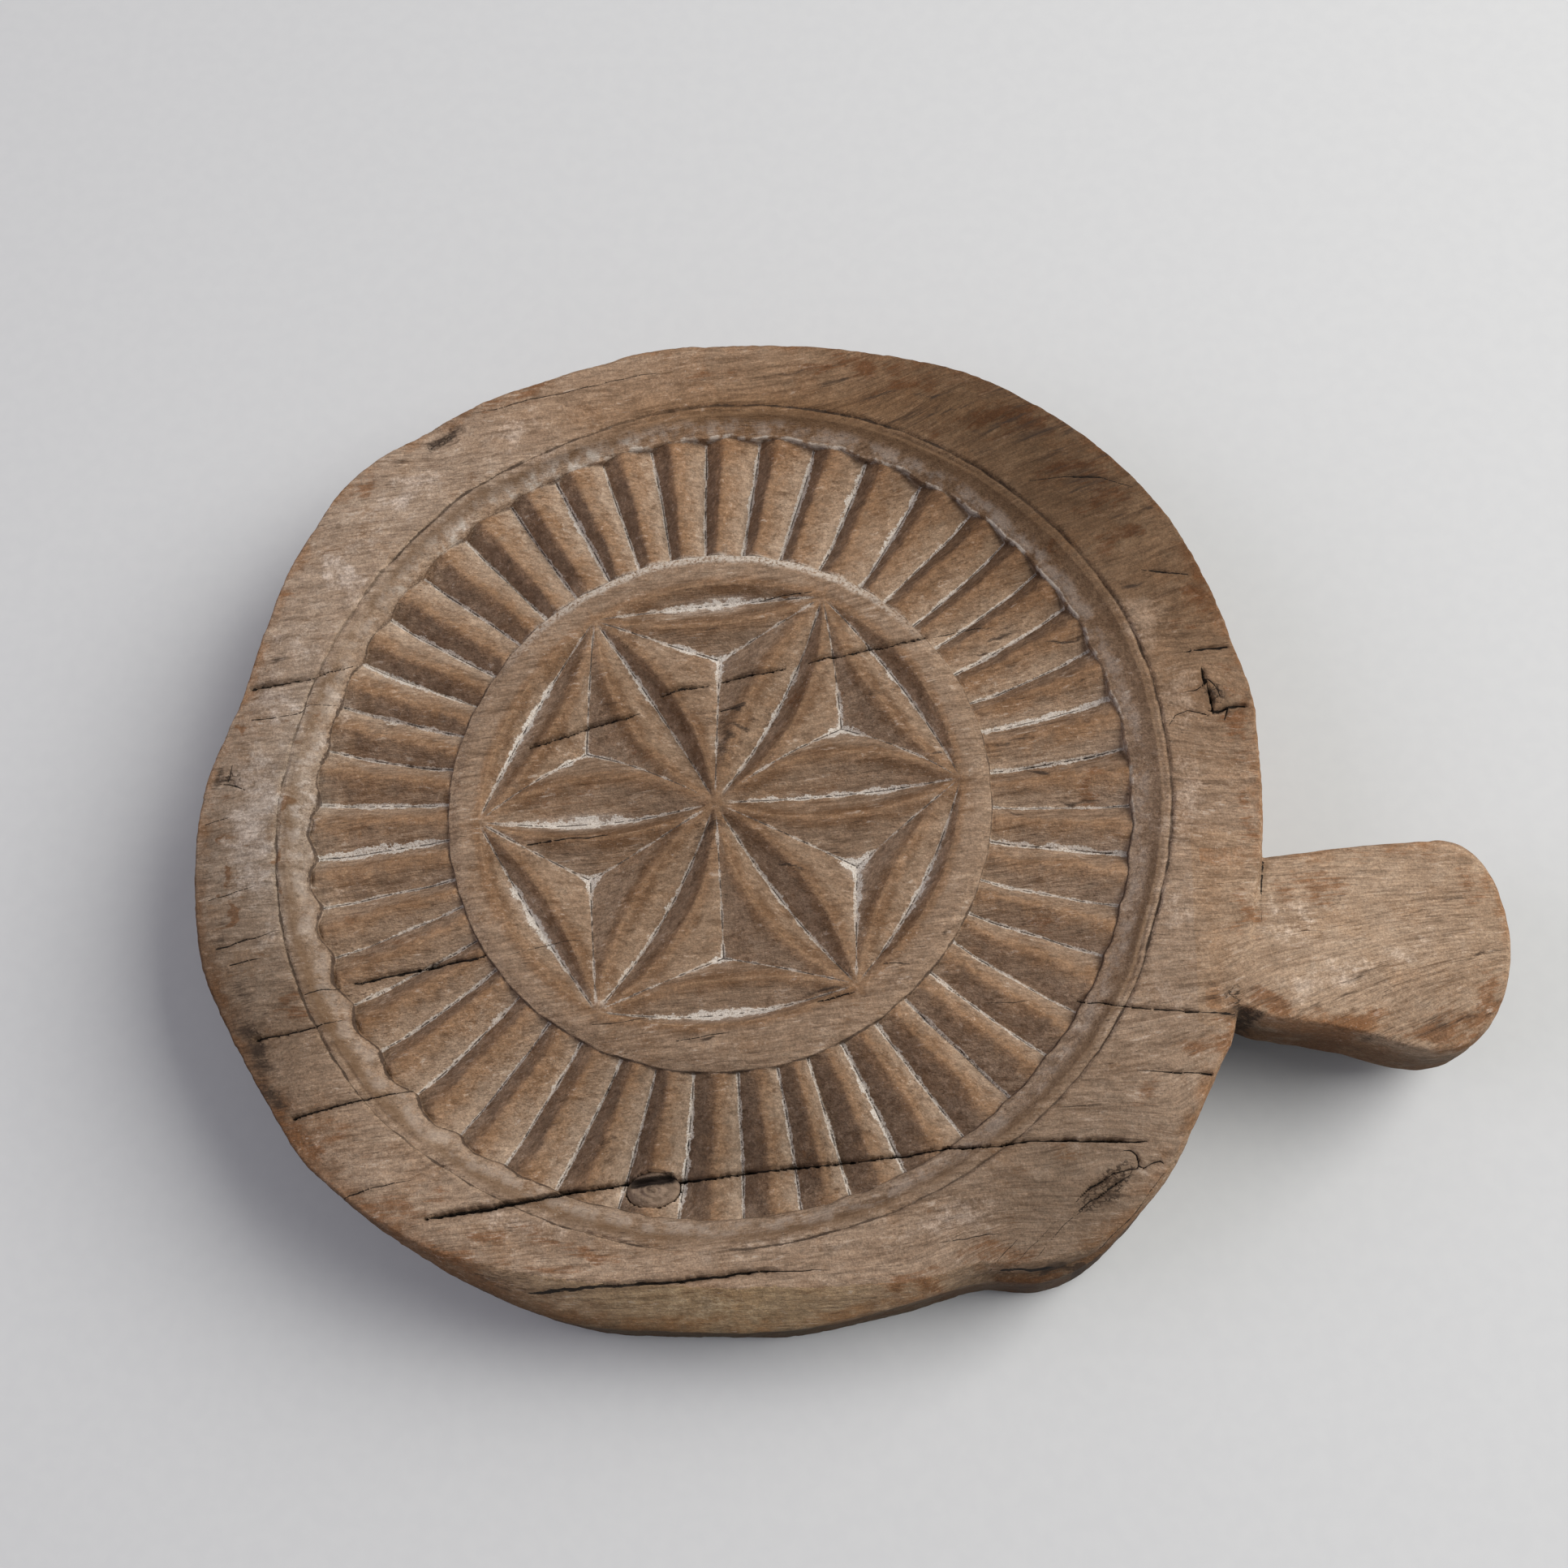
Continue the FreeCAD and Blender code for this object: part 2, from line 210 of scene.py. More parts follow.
def closed_line(points):
    points = np.asarray(points, float)
    count = len(points)
    line = []
    for i in range(count):
        for k in range(GRIP_CURVE_STEPS):
            line.append(spline(points[i - 1], points[i], points[(i + 1) % count],
                               points[(i + 2) % count], k / GRIP_CURVE_STEPS))
    return np.array(line)


class DistanceGrid:
    """Signed distance to a polygon, kept on a grid and read back between its points."""

    def __init__(self, polygon, x_range, y_range, step):
        self.x_start, self.y_start, self.step = x_range[0], y_range[0], step
        columns = np.arange(x_range[0], x_range[1] + step, step)
        rows = np.arange(y_range[0], y_range[1] + step, step)
        grid_x, grid_y = np.meshgrid(columns, rows, indexing="ij")
        x, y = grid_x.ravel(), grid_y.ravel()
        nearest = np.full(x.shape, 1e9)
        inside = np.zeros(x.shape, bool)
        for (ax, ay), (bx, by) in zip(polygon, np.roll(polygon, -1, axis=0)):
            dx, dy = bx - ax, by - ay
            t = np.clip(((x - ax) * dx + (y - ay) * dy) / (dx * dx + dy * dy + 1e-12), 0, 1)
            nearest = np.minimum(nearest, (x - ax - t * dx) ** 2 + (y - ay - t * dy) ** 2)
            inside ^= ((ay > y) != (by > y)) & (x < (bx - ax) * (y - ay) / (by - ay + 1e-12) + ax)
        distance = np.sqrt(nearest)
        self.values = np.where(inside, -distance, distance).reshape(grid_x.shape)

    def __call__(self, x, y):
        values = self.values
        column = np.clip((x - self.x_start) / self.step, 0, values.shape[0] - 1.001)
        row = np.clip((y - self.y_start) / self.step, 0, values.shape[1] - 1.001)
        i, j = column.astype(int), row.astype(int)
        share = column - i
        return mix(mix(values[i, j], values[i + 1, j], share),
                   mix(values[i, j + 1], values[i + 1, j + 1], share), row - j)


GRIP_DISTANCE = DistanceGrid(closed_line(GRIP), (96.0, 204.0), (-74.0, 2.0), 0.5)


def grip_top(x, y):
    drop = 2.6 - 2.3 * ease(-22.0, -46.0, y) + 0.022 * np.maximum(x - 140.0, 0)
    facets = (0.35 * layered(x * 0.05, y * 0.14, seed=33, octaves=2)
              + 0.12 * layered(x * 0.09, y * 0.6 - x * 0.06, seed=35, octaves=2))
    tip = 1.6 * ease(176.0, 194.0, x) ** 2
    return RIM_Z - drop - tip + facets


def grip_under(x, y):
    return 8.0 + 0.5 * layered(x * 0.05, y * 0.08, 41, 2) + 2.0 * ease(175.0, 194.0, x) ** 2


def grip_side(x, y, z):
    """Signed distance to the side wall of the handle."""
    # past the limits of the grid the distance keeps growing
    beyond = np.maximum(np.maximum(96.5 - x, 0),
                        np.maximum(np.maximum(y - 1.5, 0), np.maximum(-73.5 - y, 0)))
    distance = GRIP_DISTANCE(x, y) + beyond
    share = np.clip((z - (grip_top(x, y) - 3.6)) / 3.8, 0, 1)
    # the upper edge is rounded off further inwards on the +Y side than on the -Y side
    low_side = ease(-30.0, -60.0, y)
    high_side = ease(-24.0, -14.0, y)
    inset = (2.2 - 0.9 * low_side + 1.6 * high_side) * round_off(share)
    inset = inset + 5.0 * round_off(np.clip((16.0 - z) / 8.0, 0, 1))
    uneven = (0.5 * layered(x * 0.06 + y * 0.05, z * 0.12, seed=21, octaves=2)
              + 0.16 * noise(x * 0.35 + y * 0.4, z * 0.3, seed=23))
    return distance + inset + uneven


# ---------------------------------------------------------------- ring of flutes
# each valley between flutes: its angle as seen on the crest plane at each of SEEN_RADII
SEEN_RADII = (102.0, 90.0, 80.0, 72.0)
SEEN_HEIGHTS = (-5.4, -5.0, -4.6, -3.8)     # height of the valley floor at those radii
VALLEYS = [
    (7.4, 7.0, 6.6, 6.0), (15.2, 14.9, 14.9, 15.3), (23.0, 22.5, 22.0, 22.1),
    (30.4, 30.0, 29.7, 29.4), (37.2, 36.9, 36.8, 36.8), (44.0, 43.8, 43.8, 43.9),
    (50.7, 51.2, 51.8, 52.5), (59.7, 59.2, 59.0, 58.7), (68.8, 68.9, 68.3, 68.8),
    (77.0, 77.2, 77.5, 77.9), (85.4, 85.7, 86.0, 86.2), (93.6, 94.0, 94.4, 94.6),
    (102.2, 102.0, 102.0, 102.4), (109.8, 109.9, 109.6, 109.7), (117.5, 117.2, 117.0, 116.7),
    (125.2, 125.2, 125.1, 124.9), (134.0, 133.6, 133.4, 133.1), (142.5, 142.0, 141.4, 141.2),
    (150.6, 150.6, 150.3, 150.2), (158.5, 158.6, 158.2, 158.2), (165.8, 165.6, 165.5, 165.5),
    (172.7, 173.0, 173.4, 173.2), (181.0, 180.9, 181.0, 181.2), (189.2, 189.1, 189.0, 189.1),
    (196.5, 196.7, 197.2, 198.1), (204.1, 204.2, 204.1, 204.2), (211.5, 211.7, 211.8, 212.4),
    (219.2, 219.6, 219.7, 219.9), (227.2, 227.5, 227.4, 227.5), (235.5, 235.7, 235.9, 235.9),
    (243.0, 243.2, 243.5, 243.7), (250.6, 251.2, 251.9, 252.7), (259.2, 259.4, 259.6, 260.0),
    (267.2, 267.5, 267.6, 267.5), (275.7, 276.0, 276.0, 276.4), (283.2, 283.7, 284.0, 284.2),
    (289.7, 290.0, 290.2, 290.4), (297.4, 297.7, 297.9, 297.7), (306.2, 306.0, 305.9, 305.5),
    (314.2, 314.1, 313.6, 313.1), (321.5, 321.0, 320.7, 320.5), (328.6, 328.4, 328.2, 328.4),
    (337.2, 336.7, 335.9, 335.0), (344.5, 343.9, 343.1, 342.5), (352.0, 351.9, 351.4, 350.9),
    (359.0, 358.9, 358.6, 358.4)]
# place of the crest across each flute: 0 at its valley, 1 at the next
CREST_SHARE = np.array([
    0.59, 0.58, 0.59, 0.60, 0.61, 0.60, 0.62, 0.67, 0.67, 0.67, 0.66, 0.62, 0.60, 0.60, 0.60,
    0.60, 0.51, 0.56, 0.56, 0.57, 0.49, 0.45, 0.43, 0.43, 0.49, 0.44, 0.44, 0.38, 0.43, 0.43,
    0.44, 0.45, 0.45, 0.53, 0.55, 0.59, 0.58, 0.58, 0.56, 0.63, 0.60, 0.57, 0.58, 0.60, 0.55,
    0.55])
FLUTES = len(VALLEYS)
ROW_RADII = np.array([69.0, 78.0, 88.0, 98.0, 107.0])


def valley_rows():
    """Angle of every valley at each of ROW_RADII, corrected for the depth of its floor."""
    rows = np.zeros((len(ROW_RADII), FLUTES))
    for k, seen_angles in enumerate(VALLEYS):
        radii, angles = [], []
        for seen_radius, seen, height in zip(SEEN_RADII, seen_angles, SEEN_HEIGHTS):
            x, y = at_height(seen_radius * math.cos(math.radians(seen)),
                             seen_radius * math.sin(math.radians(seen)), height)
            radii.append(math.hypot(x, y))
            angle = math.degrees(math.atan2(y, x))
            angles.append(seen + ((angle - seen + 180.0) % 360.0 - 180.0))
        radii, angles = np.array(radii[::-1]), np.array(angles[::-1])
        for i, radius in enumerate(ROW_RADII):
            if radius > radii[-1]:
                slope = (angles[-1] - angles[-2]) / (radii[-1] - radii[-2])
                rows[i, k] = angles[-1] + 0.7 * slope * (radius - radii[-1])
            else:
                rows[i, k] = np.interp(radius, radii, angles)
    return rows


VALLEY_ROWS = valley_rows()
FLUTE_DEPTH = 1.0 + 0.10 * np.random.RandomState(7).uniform(-1, 1, FLUTES)
FLUTE_WIDTH = np.diff(np.concatenate([VALLEY_ROWS[2], [VALLEY_ROWS[2][0] + 360.0]]))   # degrees


def flute_place(radius, angle):
    """Number of the flute plus the share across it."""
    degrees = np.degrees(angle) % 360.0
    numbers = np.arange(-2, FLUTES + 2)
    places = []
    for row in VALLEY_ROWS:
        around = np.concatenate([row[-2:] - 360.0, row, row[:2] + 360.0])
        places.append(np.interp(degrees, around, numbers))
    places = np.array(places)
    last = len(ROW_RADII) - 1.001
    row = np.clip(np.interp(radius, ROW_RADII, np.arange(len(ROW_RADII))), 0, last)
    i = row.astype(int)
    points = np.arange(len(radius))
    return mix(places[i, points], places[i + 1, points], row - i)


# scribed line round the field: angle and radius as seen on the crest plane
LINE_SEEN = [
    (0, 114.5), (10, 115.0), (25, 116.3), (40, 115.7), (60, 115.6), (75, 115.0), (90, 114.4),
    (100, 114.0), (110, 112.7), (120, 113.0), (130, 113.9), (150, 113.2), (170, 113.0),
    (180, 114.2), (200, 114.8), (215, 114.6), (225, 114.4), (232, 113.2), (240, 112.3),
    (255, 111.8), (270, 112.2), (285, 111.5), (300, 112.0), (315, 113.0), (325, 113.7),
    (335, 114.0), (345, 113.2)]


def scribed_line():
    """Smoothed radius of the scribed line round the disc."""
    angles, radii = [], []
    for seen, radius in LINE_SEEN:
        x, y = at_height(radius * math.cos(math.radians(seen)),
                         radius * math.sin(math.radians(seen)), RIM_RISE - 0.3)
        angles.append(math.degrees(math.atan2(y, x)) % 360.0)
        radii.append(math.hypot(x, y))
    order = np.argsort(angles)
    angles, radii = np.array(angles)[order], np.array(radii)[order]
    values = np.interp(np.arange(0, 360, CURVE_STEP),
                       np.concatenate([[angles[-1] - 360], angles, [angles[0] + 360]]),
                       np.concatenate([[radii[-1]], radii, [radii[0]]]))
    window = np.hanning(25)
    window /= window.sum()
    around = np.concatenate([values[-24:], values, values[:24]])
    return np.convolve(around, window, "same")[24:-24]


LINE = scribed_line()

# ---------------------------------------------------------------- rosette
CENTRE = (-0.5, -0.3)
TIPS = [(61.8, 6.2), (25.8, 56.6), (-34.4, 50.2), (-61.2, -5.8), (-27.9, -54.9), (36.2, -47.4)]
# bulge of the left and right side, a point of the valley as seen on the crest plane, depth
PETALS = [
    (10.2, 7.0, (30.0, 1.2), 6.2), (5.2, 8.4, (16.8, 28.6), 5.8), (7.4, 6.6, (-17.0, 25.5), 5.6),
    (6.9, 9.5, (-32.0, -6.6), 6.4), (8.6, 6.0, (-12.6, -32.0), 5.8),
    (6.2, 8.0, (17.2, -26.4), 6.0)]
# lens from tip to tip: bulge of the outer and inner side, valley point, depth
LENSES = [
    (7.6, 4.4, (46.3, 31.3), 4.2), (7.4, 4.4, (-4.0, 53.9), 4.6), (7.6, 4.6, (-50.0, 20.5), 4.2),
    (7.8, 4.4, (-45.0, -31.5), 4.4), (6.6, 4.6, (3.0, -55.6), 4.4),
    (7.2, 4.6, (50.0, -26.4), 4.2)]
# three-sided pit between two petals and a lens: deepest point, depth
PITS = [((31.4, 19.3), 6.4), ((-0.6, 38.3), 6.4), ((-34.2, 12.4), 6.0), ((-31.2, -21.4), 6.2),
        ((3.2, -41.3), 6.2), ((35.9, -17.5), 6.6)]
TIP_ANGLES = [math.atan2(tip[1] - CENTRE[1], tip[0] - CENTRE[0]) for tip in TIPS]


def arc(start, end, bulge):
    """Circle through two points, its arc bulging left of start-end (negative: right)."""
    (ax, ay), (bx, by) = start, end
    chord = math.hypot(bx - ax, by - ay)
    normal_x, normal_y = -(by - ay) / chord, (bx - ax) / chord
    size = abs(bulge)
    radius = (chord * chord / 4 + size * size) / (2 * size)
    side = 1.0 if bulge > 0 else -1.0
    return ((ax + bx) / 2 + side * normal_x * (size - radius),
            (ay + by) / 2 + side * normal_y * (size - radius), radius)


def outside(circle, x, y):
    """Distance to the circle, positive outside it."""
    return np.hypot(x - circle[0], y - circle[1]) - circle[2]


def rosette_cells():
    """For each hollow: pit number or None, its (circle, side) walls and their slopes."""
    left = [arc(CENTRE, TIPS[k], PETALS[k][0]) for k in range(6)]
    right = [arc(CENTRE, TIPS[k], -PETALS[k][1]) for k in range(6)]
    cells = []
    for k in range(6):
        after = (k + 1) % 6
        outer = arc(TIPS[k], TIPS[after], -LENSES[k][0])
        inner = arc(TIPS[k], TIPS[after], LENSES[k][1])
        cells.append((None, [(left[k], -1), (right[k], -1)], *PETALS[k][2:]))
        cells.append((None, [(outer, -1), (inner, -1)], *LENSES[k][2:]))
        cells.append((k, [(left[k], 1), (right[after], 1), (inner, 1)], *PITS[k]))
    sloped = []
    for pit, walls, point, depth in cells:
        x, y = at_height(point[0], point[1], -depth)
        slopes = [depth / max(side * float(outside(circle, x, y)), 1.0)
                  for circle, side in walls]
        sloped.append((pit, walls, np.array(slopes)))
    return sloped


CELLS = rosette_cells()


def rosette(x, y):
    """Depth below the crests, distance to the valley line and to the nearest crest."""
    depth = np.zeros_like(x)
    valley = np.full_like(x, FAR)
    crest = np.full_like(x, FAR)
    angle = np.arctan2(y - CENTRE[1], x - CENTRE[0])
    for pit, walls, slopes in CELLS:
        reach = np.array([side * outside(circle, x, y) for circle, side in walls])
        depths = slopes[:, None] * reach
        ordered = np.sort(depths, axis=0)
        order = np.argsort(depths, axis=0)
        inside = ordered[0] > 0
        nearest = np.min(reach, axis=0)
        if pit is None:
            crest = np.where(inside, nearest, np.minimum(crest, np.abs(nearest)))
        else:
            turn = (angle - TIP_ANGLES[pit]) % (2 * math.pi)
            span = (TIP_ANGLES[(pit + 1) % 6] - TIP_ANGLES[pit]) % (2 * math.pi)
            inside &= (turn < span) & (np.hypot(x - CENTRE[0], y - CENTRE[1]) < 62.0)
            crest = np.where(inside, nearest, crest)
        depth = np.where(inside, ordered[0], depth)
        to_valley = (ordered[1] - ordered[0]) / (slopes[order[0]] + slopes[order[1]])
        valley = np.where(inside, to_valley, valley)
    return depth, valley, crest


# ---------------------------------------------------------------- drying checks
# points as seen on the crest plane, the width at each point, depth
CHECKS = [
    ([(-73.6, 112.9), (-65.6, 114), (-56.5, 117.1), (-49.6, 118.1), (-42.8, 120.1), (-34.9, 121.9),
      (-25.8, 124.1), (-15.5, 125.2)], [0.15, 0.4, 0.5, 0.4, 0.5, 0.4, 0.35, 0.15], 0.9),
    ([(-66.5, -105.8), (-61, -104.5), (-50, -102.5), (-40, -100.5), (-30, -98.5), (-20, -97),
      (-12, -96.4), (-2, -95.5), (8, -94), (18, -92.5), (28, -91.5), (38, -90.3), (48, -89),
      (58, -87.2), (68, -86.5), (78, -85), (88, -84.7), (98, -84.7), (106, -84.7)],
     [0.8, 1.6, 1.9, 1.7, 1.2, 1.1, 1.2, 1.1, 1, 0.9, 0.9, 0.8, 0.8, 0.8, 0.8, 0.9, 0.9, 0.9, 0.4],
     5),
    ([(-101.5, -82.2), (-95, -80), (-88, -78), (-80, -76.3), (-72, -75)],
     [1.2, 1, 0.8, 0.6, 0.3], 2.5),
    ([(-88, -101.5), (-80, -98.5), (-70, -96.3)], [0.7, 0.5, 0.2], 1.6),
    ([(-113, -62.6), (-110, -62), (-102, -60.5), (-96, -58.5), (-91, -57.4)],
     [1.3, 1, 0.7, 0.5, 0.2], 2),
    ([(-102, -51), (-97, -49.8), (-92.5, -49.6)], [0.6, 0.5, 0.3], 1.2),
    ([(-89.5, -48.2), (-80, -46), (-70, -44), (-60, -41.5), (-56, -40.5)],
     [1, 1.3, 1.3, 1.1, 0.6], 2),
    ([(-51.5, -40.7), (-45, -39), (-36, -37), (-30, -36.4)], [0.3, 0.3, 0.25, 0.1], 0.8),
    ([(-45.5, -123), (-40, -122), (-30, -121.2), (-20, -120.5), (-11, -119.6), (-6, -119.2),
      (3, -118), (13, -116.7), (20, -116.2), (31, -116)],
     [1.2, 1.3, 1.5, 1.3, 1.4, 1.2, 1.2, 1, 0.6, 0.2], 3),
    ([(-125, 31.2), (-120, 32.5), (-115, 33.3), (-109.2, 34), (-106.7, 35.4), (-100, 37.1),
      (-97, 37.6)], [1.3, 1.4, 1.1, 0.7, 0.7, 0.5, 0.2], 2.6),
    ([(-124, 22.3), (-117.5, 23.3), (-113.3, 23.9), (-110.8, 24.6), (-109.2, 26.8),
      (-103.3, 26.5), (-98, 26.2)], [0.5, 0.5, 0.4, 0.4, 0.4, 0.3, 0.1], 1.4),
    ([(-130.5, 4.6), (-128, 4.4), (-126, 4), (-123.5, 2.8)], [0.3, 0.5, 0.9, 0.4], 1.4),
    ([(-127.6, 9.8), (-127.9, 7), (-128.2, 4.6)], [0.3, 0.5, 0.3], 1),
    ([(-133, -6.5), (-128, -4.8), (-126, -4.6)], [0.5, 0.4, 0.1], 1),
    ([(-126, -39.8), (-121, -38), (-115, -36.2), (-109.5, -34.4)], [0.7, 0.65, 0.5, 0.2], 0.9),
    ([(-122, -43.8), (-118, -42.6), (-113.8, -42)], [0.8, 0.7, 0.3], 0.9),
    ([(-129.5, -27), (-122.7, -24.6), (-118.1, -23.2)], [0.4, 0.5, 0.2], 0.8),
    ([(127.2, -54), (118, -53.5), (108, -52.8), (98, -51.8), (89.5, -51.2)],
     [1, 0.7, 0.7, 0.6, 0.5], 2.4),
    ([(78, -51.2), (72, -51.7), (63, -51.8)], [0.3, 0.3, 0.1], 0.7),
    ([(103.5, -68.1), (113, -68.2), (121.5, -68.7)], [0.3, 0.7, 0.8], 1.6),
    ([(136.2, -15.2), (135.8, -20), (135.3, -26), (134.6, -33)], [0.9, 0.9, 0.5, 0.2], 1.6),
    ([(119, 40.6), (123.6, 41.4), (126.5, 41.5), (130.6, 42)], [0.3, 1.2, 1.3, 0.6], 1.8),
    ([(123.4, 36.2), (123.7, 34.1), (123.9, 31.6), (121.7, 29.8), (118.5, 29.3)],
     [0.5, 1, 0.7, 0.5, 0.2], 1.6),
    ([(124.4, 33.1), (125, 29.1), (125.6, 26.2), (125.7, 22.9)], [0.5, 0.9, 1.1, 0.4], 2),
    ([(124.6, 24.6), (126.9, 24.1), (129.7, 25.6), (134.2, 25.6)], [0.9, 1.3, 1.5, 1], 2),
    ([(129.5, 25.6), (129, 23.6), (128.2, 21.6)], [0.8, 0.8, 0.3], 1.2),
    ([(114.5, 20.4), (116.2, 23.1), (119.4, 24.4), (122.6, 23.6), (125, 22.6)],
     [0.3, 0.5, 0.5, 0.6, 0.6], 1),
    ([(124.8, 33.1), (126.8, 30.8), (127.8, 28.1)], [0.6, 0.7, 0.4], 1.2),
    ([(109, 63.8), (114, 63.4), (121.2, 62.4)], [0.3, 0.9, 0.4], 1.2),
    ([(80.5, 90.2), (90, 91.5), (99, 91), (108, 87.6)], [0.3, 0.6, 0.6, 0.2], 1.4),
    ([(-49.2, 14.5), (-44, 16.6), (-39, 18.3), (-32.7, 20.6), (-26.4, 22.4), (-20.5, 24.4)],
     [1, 1.4, 1.1, 1.1, 1.4, 0.4], 3),
    ([(-15.6, 28.6), (-13, 30.2), (-10.9, 30.9), (-3.2, 31.6)], [0.6, 1.3, 1.3, 0.6], 2.6),
    ([(0.2, 32.8), (4, 34), (7.3, 34.8), (12, 35.6), (16.8, 36.6)], [0.6, 1.2, 1.4, 1, 0.4], 2.8),
    ([(0, 24.6), (4, 25.4), (6.8, 26.2)], [0.6, 0.5, 0.2], 1.2),
    ([(22.4, 38), (25, 39.2), (27.5, 39.6), (30.9, 39.5), (33.5, 40.8), (36, 41.3), (41.8, 42.2),
      (45, 43), (47.3, 43.9), (53.8, 45)], [0.5, 1.1, 1, 0.7, 1.3, 1.1, 0.7, 1, 1, 0.7], 2.4),
    ([(55, 44.8), (60, 46), (65, 47), (71, 47.8)], [0.4, 0.4, 0.4, 0.2], 1),
    ([(-48.4, -11.8), (-44, -11), (-39.1, -10.2), (-33, -9.8), (-27.5, -9.1)],
     [0.5, 0.8, 0.6, 0.6, 0.4], 1.8),
    ([(26.4, -51.8), (30.9, -50.5), (36, -49)], [0.5, 0.9, 0.4], 2),
    ([(42.7, -42.2), (46, -41.9), (49.4, -42.2)], [0.4, 0.5, 0.3], 1.2),
    ([(-7.6, -61.8), (-3, -61), (0, -60.4), (6, -59.5)], [0.3, 0.5, 0.5, 0.2], 1.4),
    ([(-29, -57.9), (-22.7, -57.6), (-15.5, -56.3)], [0.4, 0.4, 0.2], 1),
    ([(8.2, 55.5), (14.5, 56.9), (23.2, 58.3)], [0.5, 0.6, 0.4], 1),
    ([(99.8, -87), (101.4, -87), (102.8, -87.9), (103.3, -89.6), (102.9, -90.8), (104.5, -91.2),
      (106.3, -90.2), (108.6, -89.5), (109.3, -90.5)],
     [0.3, 0.6, 0.7, 0.7, 0.5, 0.7, 0.5, 0.6, 0.3], 1.4),
    ([(88, -99.6), (90.5, -97.1), (92.2, -95.5), (94.6, -94.2), (97.1, -92.5), (100.4, -91.7),
      (103.7, -91)], [0.3, 0.7, 0.9, 0.8, 0.8, 0.6, 0.3], 1.6),
    ([(88.8, -101.2), (91.3, -99.1), (93.7, -97.9), (96.2, -95.8), (98.7, -94.1), (102, -92.5)],
     [0.3, 0.6, 0.8, 0.9, 0.6, 0.2], 1.4),
    ([(90.9, -113.2), (96.7, -106.7), (101.7, -101.8), (106.8, -95.2), (109.5, -91.5)],
     [0.5, 0.3, 0.35, 0.3, 0.4], 0.9),
    ([(65.8, -117.6), (70.7, -111.9), (75.6, -107)], [0.2, 0.3, 0.15], 0.5),
    ([(72, -116), (78, -109.5), (84, -103.5)], [0.15, 0.25, 0.15], 0.5),
    ([(78.5, -112.5), (85, -105), (90, -101)], [0.2, 0.3, 0.2], 0.5),
    ([(56.1, -109), (62.6, -108.1), (67.5, -107), (71.3, -106.8)], [0.2, 0.4, 0.4, 0.2], 0.8),
    ([(84.4, -77), (90.2, -76.7), (95.1, -76.1)], [0.2, 0.3, 0.2], 0.6),
    ([(70.7, -114.9), (78, -114.7), (83.6, -114.1), (87.4, -113.3), (89.1, -112.9),
      (90.6, -112.4), (93.4, -109.9), (94.6, -108.8)], [0.5, 0.9, 1.1, 1.5, 3.4, 2, 0.9, 0.4], 3)]
CHECK_STEP = 0.8
CHECK_REACH = 4.2      # how far from a piece of a check its distance is measured


def check_lines():
    """Checks as ragged lines of short steps: x, y, width and depth."""
    lines = []
    for points, widths, depth in CHECKS:
        points = np.array(points, float)
        start_x, start_y = points[0]
        length = np.concatenate([[0], np.cumsum(np.hypot(*np.diff(points, axis=0).T))])
        place = np.arange(0, length[-1], CHECK_STEP)
        x, y, width = (np.interp(place, length, column)
                       for column in (points[:, 0], points[:, 1], widths))
        normal_x, normal_y = np.gradient(y), -np.gradient(x)
        size = np.hypot(normal_x, normal_y) + 1e-9
        jag = 0.34 * layered(place * 0.28 + start_x, start_y, seed=77, octaves=4)
        x, y = x + normal_x / size * jag, y + normal_y / size * jag
        width = 0.70 * width * (1 + 0.50 * layered(place * 0.8 + start_y, start_x, 78, 3))
        lines.append((x, y, width, depth))
    return lines


CHECK_LINES = check_lines()


def check_fields(x, y, height):
    """Distance to the nearest check's centre line, its half width and its depth."""
    x, y = seen_on_plane(x, y, height)
    nearest = np.full(x.shape, FAR)
    half = np.full(x.shape, 0.3)
    depth = np.zeros_like(x)
    for line_x, line_y, line_width, line_depth in CHECK_LINES:
        close = np.nonzero((x > line_x.min() - 3) & (x < line_x.max() + 3)
                           & (y > line_y.min() - 3) & (y < line_y.max() + 3))[0]
        if not len(close):
            continue
        close_x, close_y = x[close], y[close]
        best = np.full(len(close), 1e9)
        width = np.zeros(len(close))
        for i in range(len(line_x) - 1):
            dx, dy = line_x[i + 1] - line_x[i], line_y[i + 1] - line_y[i]
            near = np.nonzero((np.abs(close_x - line_x[i]) < CHECK_REACH)
                              & (np.abs(close_y - line_y[i]) < CHECK_REACH))[0]
            if not len(near):
                continue
            from_x, from_y = close_x[near] - line_x[i], close_y[near] - line_y[i]
            t = np.clip((from_x * dx + from_y * dy) / (dx * dx + dy * dy), 0, 1)
            distance = np.hypot(from_x - t * dx, from_y - t * dy)
            closer = distance < best[near]
            best[near] = np.where(closer, distance, best[near])
            width[near] = np.where(closer, mix(line_width[i], line_width[i + 1], t), width[near])
        closer = best < nearest[close]
        nearest[close] = np.where(closer, best, nearest[close])
        half[close] = np.where(closer, width / 2, half[close])
        depth[close] = np.where(closer, line_depth, depth[close])
    return nearest, half, depth


# ---------------------------------------------------------------- height of the carved face
# worn dips of the rim: depth, centre angle, half width in degrees, radius of full depth
RIM_DIPS = [(1.6, 128.0, 7.0, 134.0), (0.9, 168.0, 9.0, 131.0), (1.0, 215.0, 22.0, 134.0)]
BAND_INNER = 104.7      # foot of the sloping band


